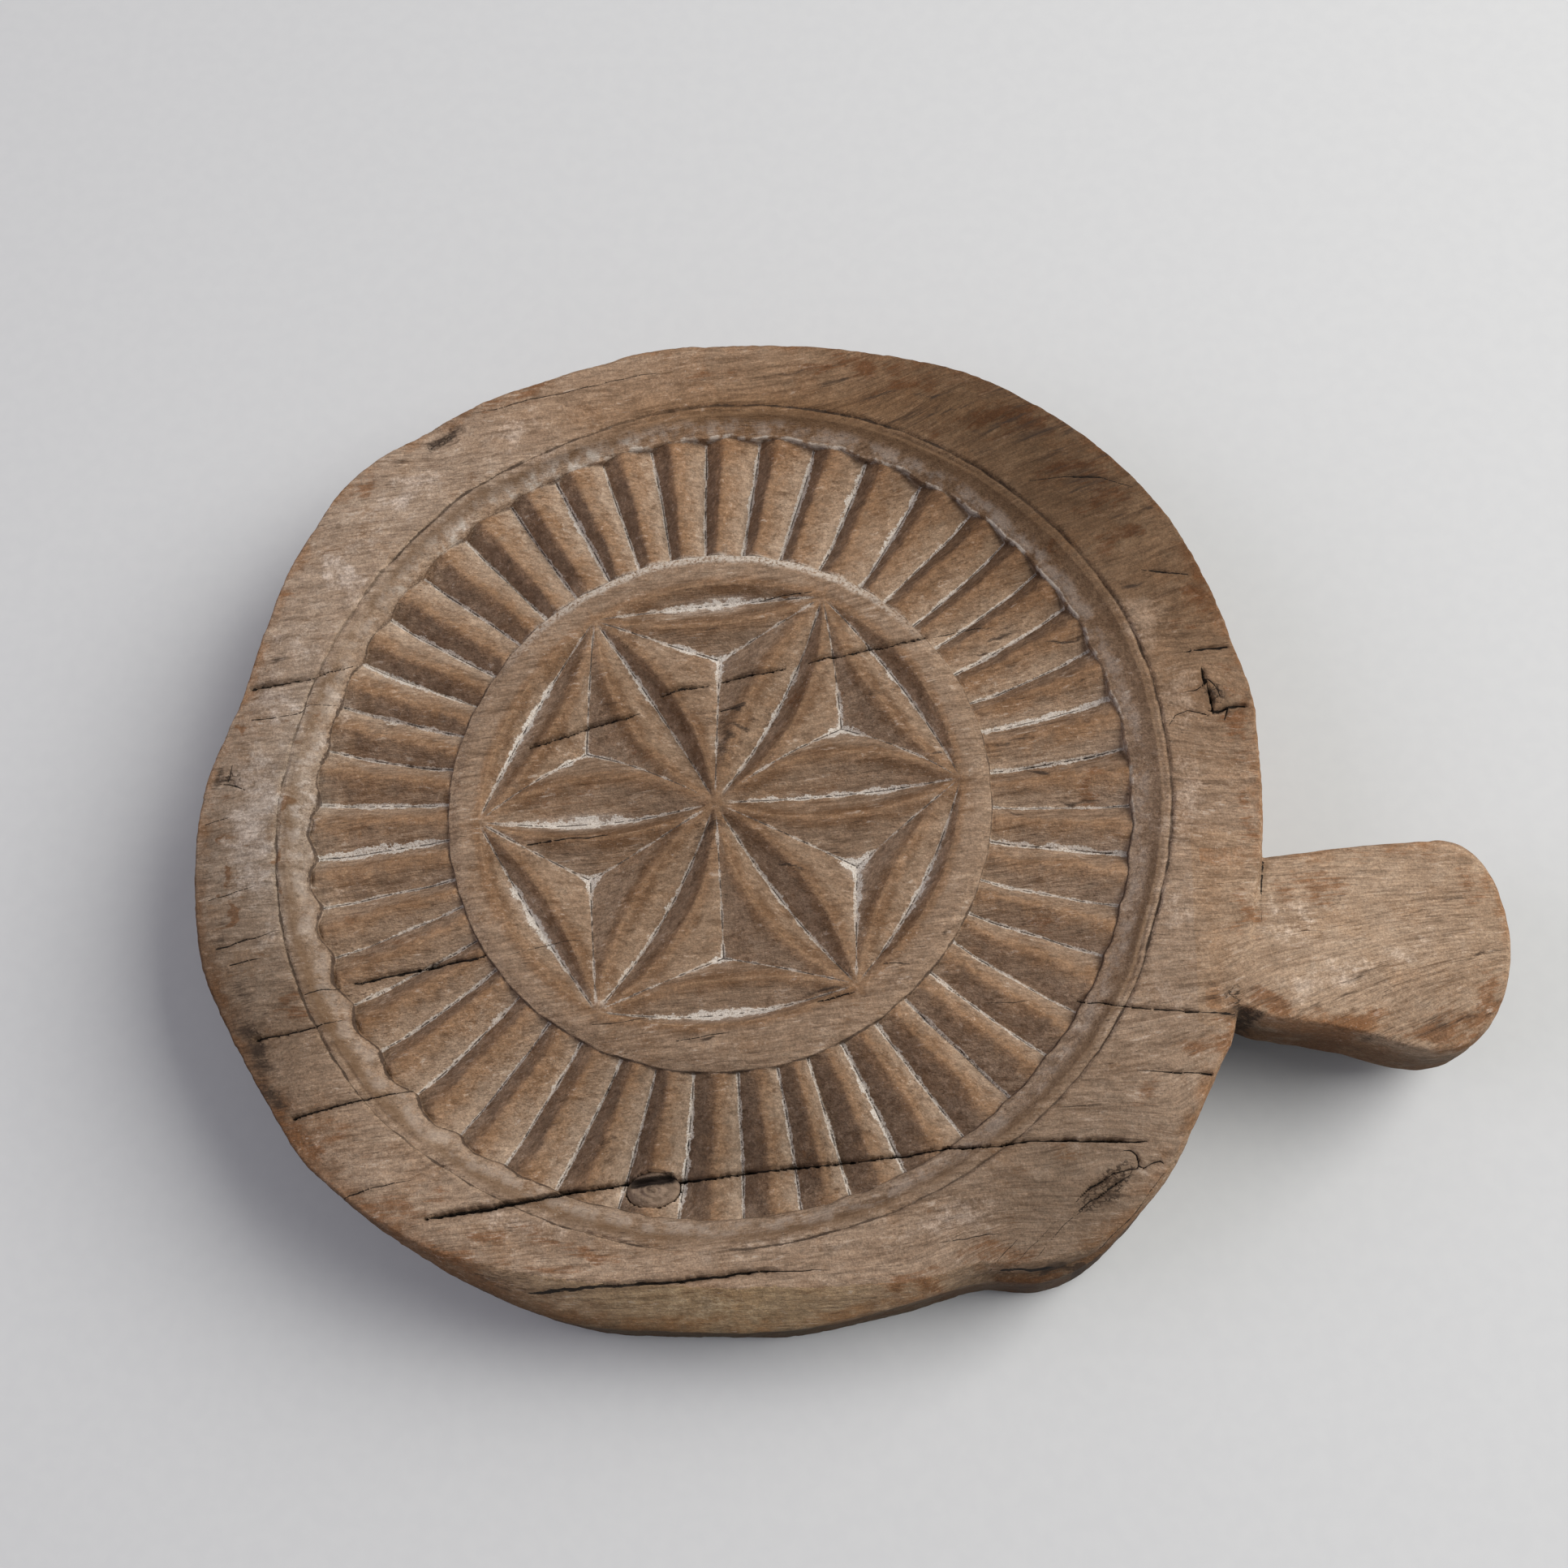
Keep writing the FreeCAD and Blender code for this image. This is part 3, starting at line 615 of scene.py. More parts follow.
def border_height(x, y, radius, angle, line):
    """Rim, scribed line, narrow shelf and the band sloping down to the flutes."""
    degrees = np.degrees(angle) % 360.0
    outline = at_angle(RIM, angle)
    rim = (RIM_RISE + 0.42 * layered(x / 46.0, y / 22.0, seed=61, octaves=3)
           + 0.10 * layered(x / 9.0, y / 3.0, seed=63, octaves=2))
    rim = rim - 0.7 * ease(outline - 15.0, outline, radius) ** 2
    for depth, centre, half, full_radius in RIM_DIPS:
        rim = rim - depth * bump(angle, centre, half) * ease(118.0, full_radius, radius)

    scribe = radius - line
    share = np.clip((radius - BAND_INNER) / (line - 2.4 - BAND_INNER), 0, 1)
    band = (-0.95 + (RIM_RISE + 0.25) * (0.80 * share + 0.20 * share ** 2.4)
            + 0.14 * layered(x / 7.0, y / 3.0, seed=65, octaves=2))
    shelf = RIM_RISE - 0.45 - 0.35 * ease(-0.6, -2.6, scribe)
    inner = mix(band, shelf, ease(-2.9, -1.7, scribe))
    height = mix(inner, rim, ease(-0.25, 0.25, scribe))
    groove = (0.75 * np.exp(-(scribe / 0.45) ** 2)
              * (0.75 + 0.4 * noise(degrees * 0.35, 1.0, seed=67)))
    # a second, fainter line comes and goes just inside the first
    faint = (0.35 * np.exp(-((scribe + 1.7) / 0.5) ** 2)
             * ease(0.0, 0.5, noise(degrees * 0.05, 8.0, seed=69)))
    return height - groove - faint


def plain_height(x, y):
    """Carved face without checks, above the crest plane, and the fields used for shading."""
    radius = np.hypot(x, y)
    angle = np.arctan2(y, x)
    degrees = np.degrees(angle) % 360.0
    line = at_angle(LINE, angle) + 0.18 * noise(np.degrees(angle) * 0.5, 3.0, seed=51)
    height = border_height(x, y, radius, angle, line)

    # flutes: two faces rising from the valleys to a crest
    place = flute_place(radius, angle)
    flute = np.floor(place).astype(int) % FLUTES
    across = place - np.floor(place)
    arch = np.sin(np.pi * across)
    pitch = np.radians(FLUTE_WIDTH[flute]) * radius
    crest_share = CREST_SHARE[flute]
    depth = (0.385 * pitch * FLUTE_DEPTH[flute] * (1 - 0.38 * ease(95.0, 104.5, radius))
             * (1 - 0.36 * ease(77.0, 69.8, radius)))
    wobble = 0.055 * layered(radius * 0.14, flute * 3.7, seed=71, octaves=3)
    share = np.clip(across + wobble * arch, 0, 1)
    rising, falling = share / (crest_share + 0.012), (1 - share) / (1 - crest_share + 0.012)
    # each face bulges a little before it reaches the crest
    rising = rising * (1.16 - 0.16 * rising)
    falling = falling * (1.16 - 0.16 * falling)
    carved = -0.75 - depth + soft_min(depth * rising, depth * falling, 0.95)
    chips = 0.24 * layered(radius / 2.0, flute * 5.1 + share * 3.0, seed=73, octaves=2)
    carved = carved + chips * ease(0.15, 0.5, share) * ease(0.05, 0.3, 1 - share)
    # between 172 and 244 degrees the flutes end outside in deeper arches
    arched = ease(172.0, 186.0, degrees) * ease(244.0, 232.0, degrees)
    outer = (104.3 + 0.5 * arch + 1.5 * arched * arch ** 1.5
             + 0.25 * noise(degrees * 0.6, 0.0, seed=75))
    inner = 69.6 + 0.25 * noise(degrees * 0.25, 5.0, seed=76)
    # round 58 degrees the outer ends are cut off more steeply
    head = bump(angle, 58.0, 85.0) ** 0.5
    outer_end = (-1.7 - 0.5 * arched + 0.45 * head
                 + (0.80 - 0.10 * arched + 1.15 * head) * (outer - radius))
    inner_end = -1.7 + 0.75 * (radius - inner)
    carved = np.minimum(carved, np.minimum(outer_end, inner_end))
    ring_floor = -0.90 + 0.10 * layered(x / 8.0, y / 3.0, seed=79, octaves=2)
    blended = mix(carved, height, ease(-0.25, 0.35, radius - outer))
    blended = mix(blended, ring_floor, ease(-0.35, 0.25, inner - radius))
    height = np.where((radius < outer + 0.35) & (radius > inner - 0.35), blended, height)

    fluted = (radius < outer) & (radius > inner)
    side = np.where(share < crest_share, 1.0, -1.0)
    climb = np.minimum(share / crest_share, (1 - share) / (1 - crest_share))
    fields = dict(
        fluted=np.where(fluted, 1.0, 0.0),
        deep=np.where(fluted, 1.0, 0.0),
        valley=np.where(fluted, np.minimum(across, 1 - across) * pitch, FAR),
        crest=np.where(fluted, np.abs(share - crest_share) * pitch, FAR),
        rise=np.where(fluted, climb, 0.0),
        # face: how far each side of a flute turns towards the light from +X, used for painted
        # light and shade
        face=np.where(fluted, np.clip(side * (np.sin(angle) + 0.30), -1, 1), 0.0),
        scribe=radius - line, ring_in=radius - inner, ring_out=radius - outer)

    # plain ring and rosette
    middle = radius <= inner
    x, y, radius = x[middle], y[middle], radius[middle]
    depth, valley, crest = rosette(x, y)
    hollow = np.maximum(depth, 0)
    rounding = 0.46 + 0.22 * noise(x / 5.0, y / 5.0, seed=82)
    cut = np.sqrt(hollow * hollow + rounding * rounding) - rounding
    cut = cut * (1 + 0.03 * layered(x / 6.0, y / 6.0, seed=83, octaves=2))
    base = (-0.15 + 0.10 * layered(x / 8.0, y / 3.0, seed=79, octaves=2)
            - 0.75 * ease(65.5, 69.7, radius) ** 1.6)
    base = base - 0.5 * ease(9.0, 0.0, np.hypot(x - CENTRE[0], y - CENTRE[1]))
    height[middle] = np.where(radius < inner[middle] - 0.35, base - cut, height[middle])
    fields["deep"][middle] = hollow
    fields["valley"][middle] = np.where(depth > 0, valley, FAR)
    fields["crest"][middle] = np.where(depth > 0, crest, np.minimum(crest, FAR))
    fields["rise"][middle] = np.where(depth > 0, ease(4.5, 0.4, crest), ease(3.0, 0.2, crest))
    return height, fields


KNOT_X, KNOT_Y = -12.4, -97.6
KNOT_LONG, KNOT_SHORT = 6.5, 4.3      # half lengths of the oval
KNOT_TURN = 7.0                       # degrees


def full_height(x, y):
    """Carved face with checks and the knot's socket; also shading fields and check fields."""
    plain, fields = plain_height(x, y)
    distance, half, depth = check_fields(x, y, plain)
    cut = np.maximum(1 - distance / np.maximum(half * 1.15, 0.12), 0)
    height = plain - depth * np.minimum(cut * 1.8, 1.0) * ease(0.05, 0.4, half)
    # the lips of the wide checks are rounded down slightly
    height = height - 0.25 * np.exp(-((distance - half) / 0.9) ** 2) * ease(0.2, 0.5, half)
    along, across = turned(x - KNOT_X, y - KNOT_Y, KNOT_TURN)
    socket = np.hypot(along / KNOT_LONG, across / KNOT_SHORT) < 1.02
    height = np.where(socket, np.minimum(height, -8.0), height)
    return height, fields, distance, half


# ---------------------------------------------------------------- the solid, negative inside
def disc_field(x, y, z, height):
    back = 0.05 + 0.18 * np.abs(layered(x / 30.0, y / 14.0, seed=91, octaves=3))
    return np.maximum(np.maximum(z - (CREST_Z + height), disc_side(x, y, z)), back - z)


def grip_field(x, y, z):
    return np.maximum(np.maximum(z - grip_top(x, y), grip_side(x, y, z)), grip_under(x, y) - z)


def solid(x, y, z, height):
    field = disc_field(x, y, z, height)
    near = x > 92.0
    field[near] = soft_min(field[near], grip_field(x[near], y[near], z[near]), 1.2)
    return field


def surface_nets(step):
    """Quads round the solid: one vertex in every grid cell that its surface crosses."""
    columns = np.arange(-139.0, 198.0, step)
    rows = np.arange(-134.0, 137.0, step)
    levels = np.arange(-1.5 * step, RIM_Z + 3 * step, step)
    grid_x, grid_y = np.meshgrid(columns, rows, indexing="ij")
    x, y = grid_x.ravel(), grid_y.ravel()
    height = plain_height(x, y)[0]
    field = np.empty((len(columns), len(rows), len(levels)), np.float32)
    for k, z in enumerate(levels):
        field[:, :, k] = solid(x, y, np.full(x.size, z), height).reshape(grid_x.shape)
    inside = field < 0
    shape = tuple(size - 1 for size in field.shape)
    corners = [(i, j, k) for i in (0, 1) for j in (0, 1) for k in (0, 1)]
    count = np.zeros(shape, np.uint8)
    for i, j, k in corners:
        count += inside[i:shape[0] + i, j:shape[1] + j, k:shape[2] + k]
    active = np.nonzero((count > 0) & (count < 8))
    number = np.full(shape, -1, np.int64)
    number[active] = np.arange(len(active[0]))

    # each vertex is the mean of the crossings on the edges of its cell
    total = np.zeros((len(active[0]), 3))
    crossings = np.zeros(len(active[0]))
    for start in corners:
        for axis in range(3):
            if start[axis] == 1:
                continue
            end = list(start)
            end[axis] = 1
            first, second = (field[tuple(a + c for a, c in zip(active, corner))].astype(float)
                             for corner in (start, end))
            cross = (first < 0) != (second < 0)
            t = np.where(cross, first / np.where(cross, first - second, 1), 0)
            for k in range(3):
                total[:, k] += np.where(cross, start[k] + (t if k == axis else 0), 0)
            crossings += cross
    place = total / crossings[:, None] + np.stack(active, 1)
    verts = np.stack([columns[0] + place[:, 0] * step, rows[0] + place[:, 1] * step,
                      levels[0] + place[:, 2] * step], 1)

    # each grid edge that crosses the surface joins the four cells round it
    quads = []
    for axis in range(3):
        side_1, side_2 = (axis + 1) % 3, (axis + 2) % 3
        lower, upper = [slice(None)] * 3, [slice(None)] * 3
        lower[axis], upper[axis] = slice(0, -1), slice(1, None)
        start_in, end_in = inside[tuple(lower)], inside[tuple(upper)]
        edges = np.stack(np.nonzero(start_in != end_in), 1)
        keep = ((edges[:, side_1] > 0) & (edges[:, side_2] > 0)
                & (edges[:, side_1] < field.shape[side_1] - 1)
                & (edges[:, side_2] < field.shape[side_2] - 1))
        edges = edges[keep]
        start_in = start_in[tuple(edges.T)]
        around = []
        for shift_1, shift_2 in ((-1, -1), (0, -1), (0, 0), (-1, 0)):
            cell = edges.copy()
            cell[:, side_1] += shift_1
            cell[:, side_2] += shift_2
            around.append(number[tuple(cell.T)])
        quad = np.stack(around, 1)
        quads.append(np.where(start_in[:, None], quad, quad[:, ::-1]))
    return verts, np.concatenate(quads)


def split_faces(verts, quads, pick):
    """Split picked quads in four; their neighbours take the mid points into their outline."""
    ends = np.stack([quads, np.roll(quads, -1, axis=1)], 2)
    base = len(verts) + 1
    key = ends.min(2) * base + ends.max(2)
    marked = np.unique(key[pick])
    middles = (verts[marked // base] + verts[marked % base]) / 2
    centres = verts[quads[pick]].mean(1)
    centre = len(verts) + len(marked) + np.arange(len(centres))
    place = np.minimum(np.searchsorted(marked, key), len(marked) - 1)
    split = marked[place] == key
    middle = np.where(split, len(verts) + place, -1)
    corner, mid = quads[pick], middle[pick]
    quarters = np.stack([np.stack([corner[:, i], mid[:, i], centre, mid[:, i - 1]], 1)
                         for i in range(4)], 1).reshape(-1, 4)
    plain = ~pick & ~split.any(1)
    touched = ~pick & split.any(1)
    ngons = []
    for quad, mids in zip(quads[touched], middle[touched]):
        outline = []
        for i in range(4):
            outline.append(int(quad[i]))
            if mids[i] >= 0:
                outline.append(int(mids[i]))
        ngons.append(outline)
    return (np.concatenate([verts, middles, centres]), np.concatenate([quarters, quads[plain]]),
            ngons)


def settle(x, y, z, height):
    """Move points down the gradient onto the surface of the solid."""
    gap = 0.05
    for _ in range(3):
        def sample(dx, dy):
            return solid(x + dx, y + dy, z, plain_height(x + dx, y + dy)[0])
        value = solid(x, y, z, height)
        slope_x = (sample(gap, 0) - sample(-gap, 0)) / (2 * gap)
        slope_y = (sample(0, gap) - sample(0, -gap)) / (2 * gap)
        slope_z = (solid(x, y, z + gap, height) - solid(x, y, z - gap, height)) / (2 * gap)
        steep = slope_x * slope_x + slope_y * slope_y + slope_z * slope_z + 1e-6
        move = np.clip(value / np.maximum(steep, 0.3), -0.6, 0.6)
        x, y, z = x - move * slope_x, y - move * slope_y, z - move * slope_z
        height = plain_height(x, y)[0]
    return x, y, z


def snap(x, y, distance, half_cell):
    """Pull the points beside a line onto it, so that it stays sharp."""
    gap = 0.02
    away = distance(x, y)
    close = np.nonzero((away < half_cell) & (away > gap))[0]
    near_x, near_y = x[close], y[close]
    slope_x = (distance(near_x + gap, near_y) - distance(near_x - gap, near_y)) / (2 * gap)
    slope_y = (distance(near_x, near_y + gap) - distance(near_x, near_y - gap)) / (2 * gap)
    slope = np.hypot(slope_x, slope_y) + 1e-6
    reach = half_cell * np.maximum(np.abs(slope_x), np.abs(slope_y)) / slope
    within = (away[close] <= reach) & (slope > 0.4)
    moved = close[within]
    x[moved] -= away[moved] * slope_x[within] / slope[within] ** 2
    y[moved] -= away[moved] * slope_y[within] / slope[within] ** 2
    return x, y


def valley_distance(x, y):
    return plain_height(x, y)[1]["valley"]


def check_distance(x, y):
    return check_fields(x, y, plain_height(x, y)[0])[0]


def block_mesh():
    """Vertices, quads, larger faces and the attributes of the carved block."""
    verts, quads = surface_nets(CELL)
    x, y, z = verts[quads].mean(1).T
    height = plain_height(x, y)[0]
    near_top = (z > np.minimum(CREST_Z + height - 1.4, RIM_Z - 7.0)) & (z > 20)
    verts, quads, ngons = split_faces(verts, quads, near_top | ((x > 120) & (z > 30)))
    x, y, z = verts.T.copy()
    height = plain_height(x, y)[0]
    front = ((z - (CREST_Z + height) > disc_side(x, y, z) + 0.05) & (z > 22)
             & ~((x > 118) & (GRIP_DISTANCE(x, y) < 6)))
    wall = ~front
    x[wall], y[wall], z[wall] = settle(x[wall], y[wall], z[wall], height[wall])
    for distance in (valley_distance, check_distance):
        x[front], y[front] = snap(x[front], y[front], distance, CELL / 2 * 0.5)
    height, fields, check, check_half = full_height(x, y)
    z[front] = CREST_Z + height[front]

    edge = at_angle(RIM, np.arctan2(y, x)) - np.hypot(x, y)
    edge = np.where((x > 120) & (GRIP_DISTANCE(x, y) < 2),
                    np.clip(-GRIP_DISTANCE(x, y), 0, 30), np.clip(edge, 0, 30))
    # value that each field takes away from the carved face
    off_face = dict(fluted=0.0, deep=0.0, valley=FAR, crest=FAR, rise=0.0, face=0.0,
                    scribe=FAR, ring_in=FAR, ring_out=FAR)
    masked = {name: np.where(front, fields[name], off) for name, off in off_face.items()}
    attributes = dict(edge=edge)
    for name in ("fluted", "deep", "valley", "crest"):
        attributes[name] = masked[name]
    attributes["check"] = np.where(wall & (z < RIM_Z - 6.0), FAR, check)
    attributes["cwid"] = check_half
    for name in ("rise", "face", "scribe", "ring_in", "ring_out"):
        attributes[name] = masked[name]
    attributes.update(marks(x, y, z, front))
    return np.stack([x, y, z], 1), quads, ngons, attributes


# ---------------------------------------------------------------- marks on the wood, with painted light and shade
# knots that bend the grain: x, y, size, strength
KNOTS = [(96, -96, 7.5, 0.8), (KNOT_X, KNOT_Y, KNOT_LONG, 0.8), (126, 27, 6, 0.7),
         (-78, 104, 5.5, 0.7), (-112, -62, 5, 0.5), (-128, 4, 4, 0.5), (150, -22, 6, 0.35),
         (60, 108, 8, 0.3)]

# The tables of spots below all hold: x, y, half length, half width, turn, strength.
# dark stains; the narrow ones are shakes along the grain. Some are painted shadow: the holes at
# (91.2, -113.8) and (128, -54.5), the hollow's upper lip beside the dead knot at (-12, -94.6), and
# the wider spots along the -Y edge of the handle
STAINS_AND_SHADOWS = [
    (71, 47, 6, 0.45, 12, 1.1), (88, 45, 6, 0.45, 13, 1.1), (82, 9, 3, 0.45, -3, 1.1),
    (92, 2, 7, 0.45, 8, 1), (75, 16, 4, 0.45, 9, 0.8), (94, 33, 4, 0.45, 11, 0.8),
    (75, -2, 4, 0.45, -9, 0.8), (106, 58, 4, 0.45, 5, 1), (91, 11, 6, 0.45, 9, 0.8),
    (80, -8, 3, 0.45, -7, 0.8), (5, 20, 3, 0.45, -9, 1.1), (4, 26, 3, 0.45, 1, 1),
    (19, -17, 5, 0.45, -13, 1), (-1, -61, 7, 0.45, 13, 1.3), (30, -49, 7, 0.45, 7, 1.3),
    (57, 13, 3, 0.45, 10, 1), (69, 42, 4, 0.45, 8, 1.1), (58, -34, 3, 0.45, 23, 1),
    (-52, -23, 4, 0.45, 9, 0.7), (-112, -66, 9, 3.2, -60, 1), (-106, -78, 8, 2.6, -50, 0.9),
    (-117, -52, 6, 2.2, -70, 0.7), (-124, -40, 5, 2, 80, 0.45), (-129, 5, 3.5, 2, 80, 0.9),
    (-131, -4, 4, 1.2, 85, 0.5), (-117, 38, 4.5, 1.6, 20, 0.7), (-121, 27, 5, 2, 60, 0.35),
    (-78, 103, 6.5, 2.6, 35, 0.9), (-88, 98, 7, 1.8, 40, 0.5), (-100, 84, 6, 1.4, 52, 0.4),
    (62, 112, 26, 3, 16, 0.55), (84, 104, 20, 3.4, 20, 0.7), (96, 88, 16, 5, -30, 0.55),
    (106, 74, 12, 3.5, -55, 0.45), (95.5, -96, 8.5, 3, 40, 0.62), (103, -89.5, 4, 1.6, 40, 0.35),
    (76, -118.6, 9, 1.3, 0, 1.2), (91.2, -113.8, 2, 1.3, 20, 2.6), (84, -115, 7, 0.7, 5, 1.8),
    (95.4, -110.6, 3.4, 0.7, 45, 1.4), (72, -120.5, 6, 1.6, 0, 1), (128, -54.5, 4, 2.4, 0, 1.3),
    (122, -50, 3, 2.5, 0, 0.6), (136, -52, 10, 3, 15, 0.55), (150, -56, 12, 2.4, 18, 0.45),
    (172, -58, 10, 1.8, 22, 0.5), (187, -40, 6, 1.1, 18, 0.6), (181, -22, 7, 1, 12, 0.4),
    (158, -31, 7, 1.2, 15, 0.45), (126, 27, 5, 4, 0, 0.6), (129.5, 32, 4, 3, 0, 0.35),
    (131, 8, 3, 7, 0, 0.35), (124, 3, 4, 6, 0, 0.25), (-12, -94.6, 6.2, 1.2, 7, 1.6),
    (-24, -88, 3, 8, 0, 0.4), (3, -92, 3, 10, 0, 0.35), (16, -90, 3, 9, 0, 0.3),
    (31, -90, 3, 9, 20, 0.4), (13, 26, 9, 3.5, 20, 0.45), (40, 31, 7, 4, 30, 0.55),
    (50, 36, 7, 3, -40, 0.45), (2, 16, 2.4, 6, 0, 0.8), (-3, 24, 4, 3, 0, 0.5),
    (34, -14, 5, 4, 40, 0.5), (-28, 26, 8, 4, 30, 0.4), (-2, -8, 3, 5.5, 0, 0.7),
    (28, -30, 7, 3, -60, 0.4), (-20, -40, 6, 4, 0, 0.3), (-46, -120, 10, 2, -8, 0.5),
    (170.7, -28.1, 5, 0.6, 23, 0.72), (180.5, -25.5, 7, 0.5, 11, 0.62),
    (185.8, -39.2, 8, 0.5, 16, 0.8), (173.8, -56.5, 5.5, 0.6, 16, 0.75),
    (183.7, -55.2, 6, 0.6, 20, 0.75), (144.3, -34.1, 6, 0.5, 8, 0.95),
    (153.8, -24.9, 5, 0.5, 29, 0.65), (150, -52, 14, 0.5, 22, 0.55), (160, -50, 14, 0.5, 21, 0.5),
    (156, -45, 16, 0.5, 20, 0.5), (168, -46, 14, 0.5, 20, 0.5), (146, -47, 10, 0.5, 19, 0.45),
    (172, -52, 12, 0.5, 21, 0.5), (143, -54, 8, 1, 20, 0.55), (160, -59.5, 16, 1.6, 4, 0.6),
    (132, -50, 5, 2.6, 10, 0.5), (60, 110, 11, 0.6, 17, 1), (42, 115, 8, 0.5, 14, 0.9),
    (55, 115.4, 6, 0.5, 10, 0.9), (75, 106, 10, 0.6, 20, 0.9), (88, 98, 9, 0.6, 22, 0.8),
    (66, 103, 8, 0.5, 15, 0.7), (98, 86, 10, 0.6, 10, 0.8), (106, 71, 9, 0.5, 5, 0.7),
    (100, 96, 7, 0.6, 25, 0.7), (82, 113, 8, 0.6, 25, 0.7), (30, 119, 9, 0.6, 14, 0.7),
    (18, 122, 8, 0.5, 12, 0.6), (92, 104, 7, 0.8, 28, 0.8), (72, 117, 8, 0.7, 22, 0.8),
    (110, 80, 6, 0.6, 0, 0.6), (-95, -103, 12, 1.8, -48, 0.6), (60, -104, 10, 1.6, 10, 0.25),
    (-60, -112, 10, 2.2, -25, 0.3)]

# chalk left in the carving, placed as seen on the crest plane
CHALK = [
    (-34, -5.6, 14, 2.6, 3, 2.5), (-3, 54.2, 11, 2.6, 10, 2.7), (-22, 32, 12, 2, -58, 0.9),
    (3, -55.6, 15, 2.2, 4, 1.8), (15, 25, 18, 2, 62, 0.8), (24, 1.6, 14, 2, 4, 1.1),
    (40, 3, 9, 2, 6, 1.2), (-0.5, 38.5, 4.5, 4.5, 0, 1.3), (-9, 41.5, 7, 2, -20, 0.9),
    (31.4, 19.3, 4.5, 4.5, 0, 1.3), (31.2, 22, 2, 5, 0, 1.2), (36, -17.5, 5, 4, 0, 1.7),
    (37, -22, 2, 9, 0, 1.2), (3.2, -41.5, 4, 3, 0, 1.1), (-34, 12.5, 5, 3, 0, 0.8),
    (-39.5, 9.5, 5, 2, 35, 1), (-31, -21.5, 3.5, 3, 0, 1), (18, -27, 16, 2, -55, 0.7),
    (-16, -35, 20, 2, -120, 0.7), (-46, -31, 14, 2.2, -52, 1.7), (-50, 20, 14, 2.2, 66, 1.5),
    (54, -21, 14, 2, 62, 1.2), (44, 34, 12, 2, -52, 0.8), (-88, -13.5, 14, 2, 8, 2.2),
    (-84, -2, 16, 1.5, 0, 0.8), (-87, -21, 14, 1.6, 14, 1.5), (-82, -33, 16, 1.6, 22, 1),
    (-63, -63, 16, 2, 46, 1.7), (-72, -52, 15, 1.6, 36, 0.9), (-88, 20, 14, 1.6, -12, 1.2),
    (-85, 33, 12, 1.6, -20, 0.9), (-79, 46, 14, 1.6, -30, 0.8), (5, -86, 1.8, 14, 0, 0.9),
    (-3.5, -92, 2.4, 10, 0, 1), (-9, -90, 2, 12, 0, 0.7), (40, -78, 2, 15, 26, 1.2),
    (54, -68, 3, 14, 40, 1.1), (85, 23, 15, 1.6, 15, 1.1), (88, 9, 15, 1.4, 6, 0.9),
    (80, 44, 14, 1.6, 29, 0.7), (31, 83, 2, 14, -20, 1.1), (20, 86, 2, 14, -13, 0.9),
    (6, 88, 2, 14, -4, 0.8), (44, 76, 2, 14, -30, 1), (60, 66, 14, 2, 46, 0.9),
    (-41, 78, 2, 13, 28, 0.8), (-56, 68, 10, 2, -50, 0.9), (88, -12, 15, 1.4, -8, 0.8),
    (84, -28, 15, 1.4, -18, 0.8)]

# grey, chalky scuffed places; towards -X and +Y, on the rim and the sloping band, they are partly
# painted highlight
PALE = [
    (108, 48, 7, 9, 0, 1), (104, 20, 4, 12, 0, 0.5), (-60, 104, 10, 4, 28, 0.7),
    (-88, 86, 10, 5, 46, 0.8), (-102, 62, 6, 10, 20, 0.8), (-119, -8, 6, 22, 0, 1),
    (-117, 24, 6, 9, 20, 0.8), (-112, 44, 7, 9, 30, 0.6), (-110, -36, 6, 9, 0, 0.5),
    (-96, 74, 9, 6, 50, 0.5), (-107, 0, 2.5, 22, 0, 0.8), (-103, 30, 2.5, 14, 18, 0.7),
    (-102, -32, 2.5, 14, -18, 0.6), (116, 2, 5, 16, 0, 0.7), (117, 28, 5, 10, 12, 0.7),
    (114, -28, 6, 10, -15, 0.5), (110, -50, 8, 5, 0, 0.45), (140, -30, 9, 9, 0, 0.55),
    (150, -46, 18, 4.5, 18, 0.6), (170, -40, 16, 4, 18, 0.45), (60, -104, 16, 4, 14, 0.6),
    (20, -110, 20, 4, 2, 0.5), (-40, -108, 18, 4, -12, 0.5), (-20, 117, 12, 2, 8, 0.4),
    (58, 104, 8, 1.6, -24, 0.5), (-52, 96, 12, 3, 26, 0.6), (-72, 80, 9, 2.4, 46, 0.7),
    (0, -124, 20, 3, 0, 0.5), (88, -88, 10, 3, 10, 0.35), (127, -12, 3, 8, 0, 0.4)]

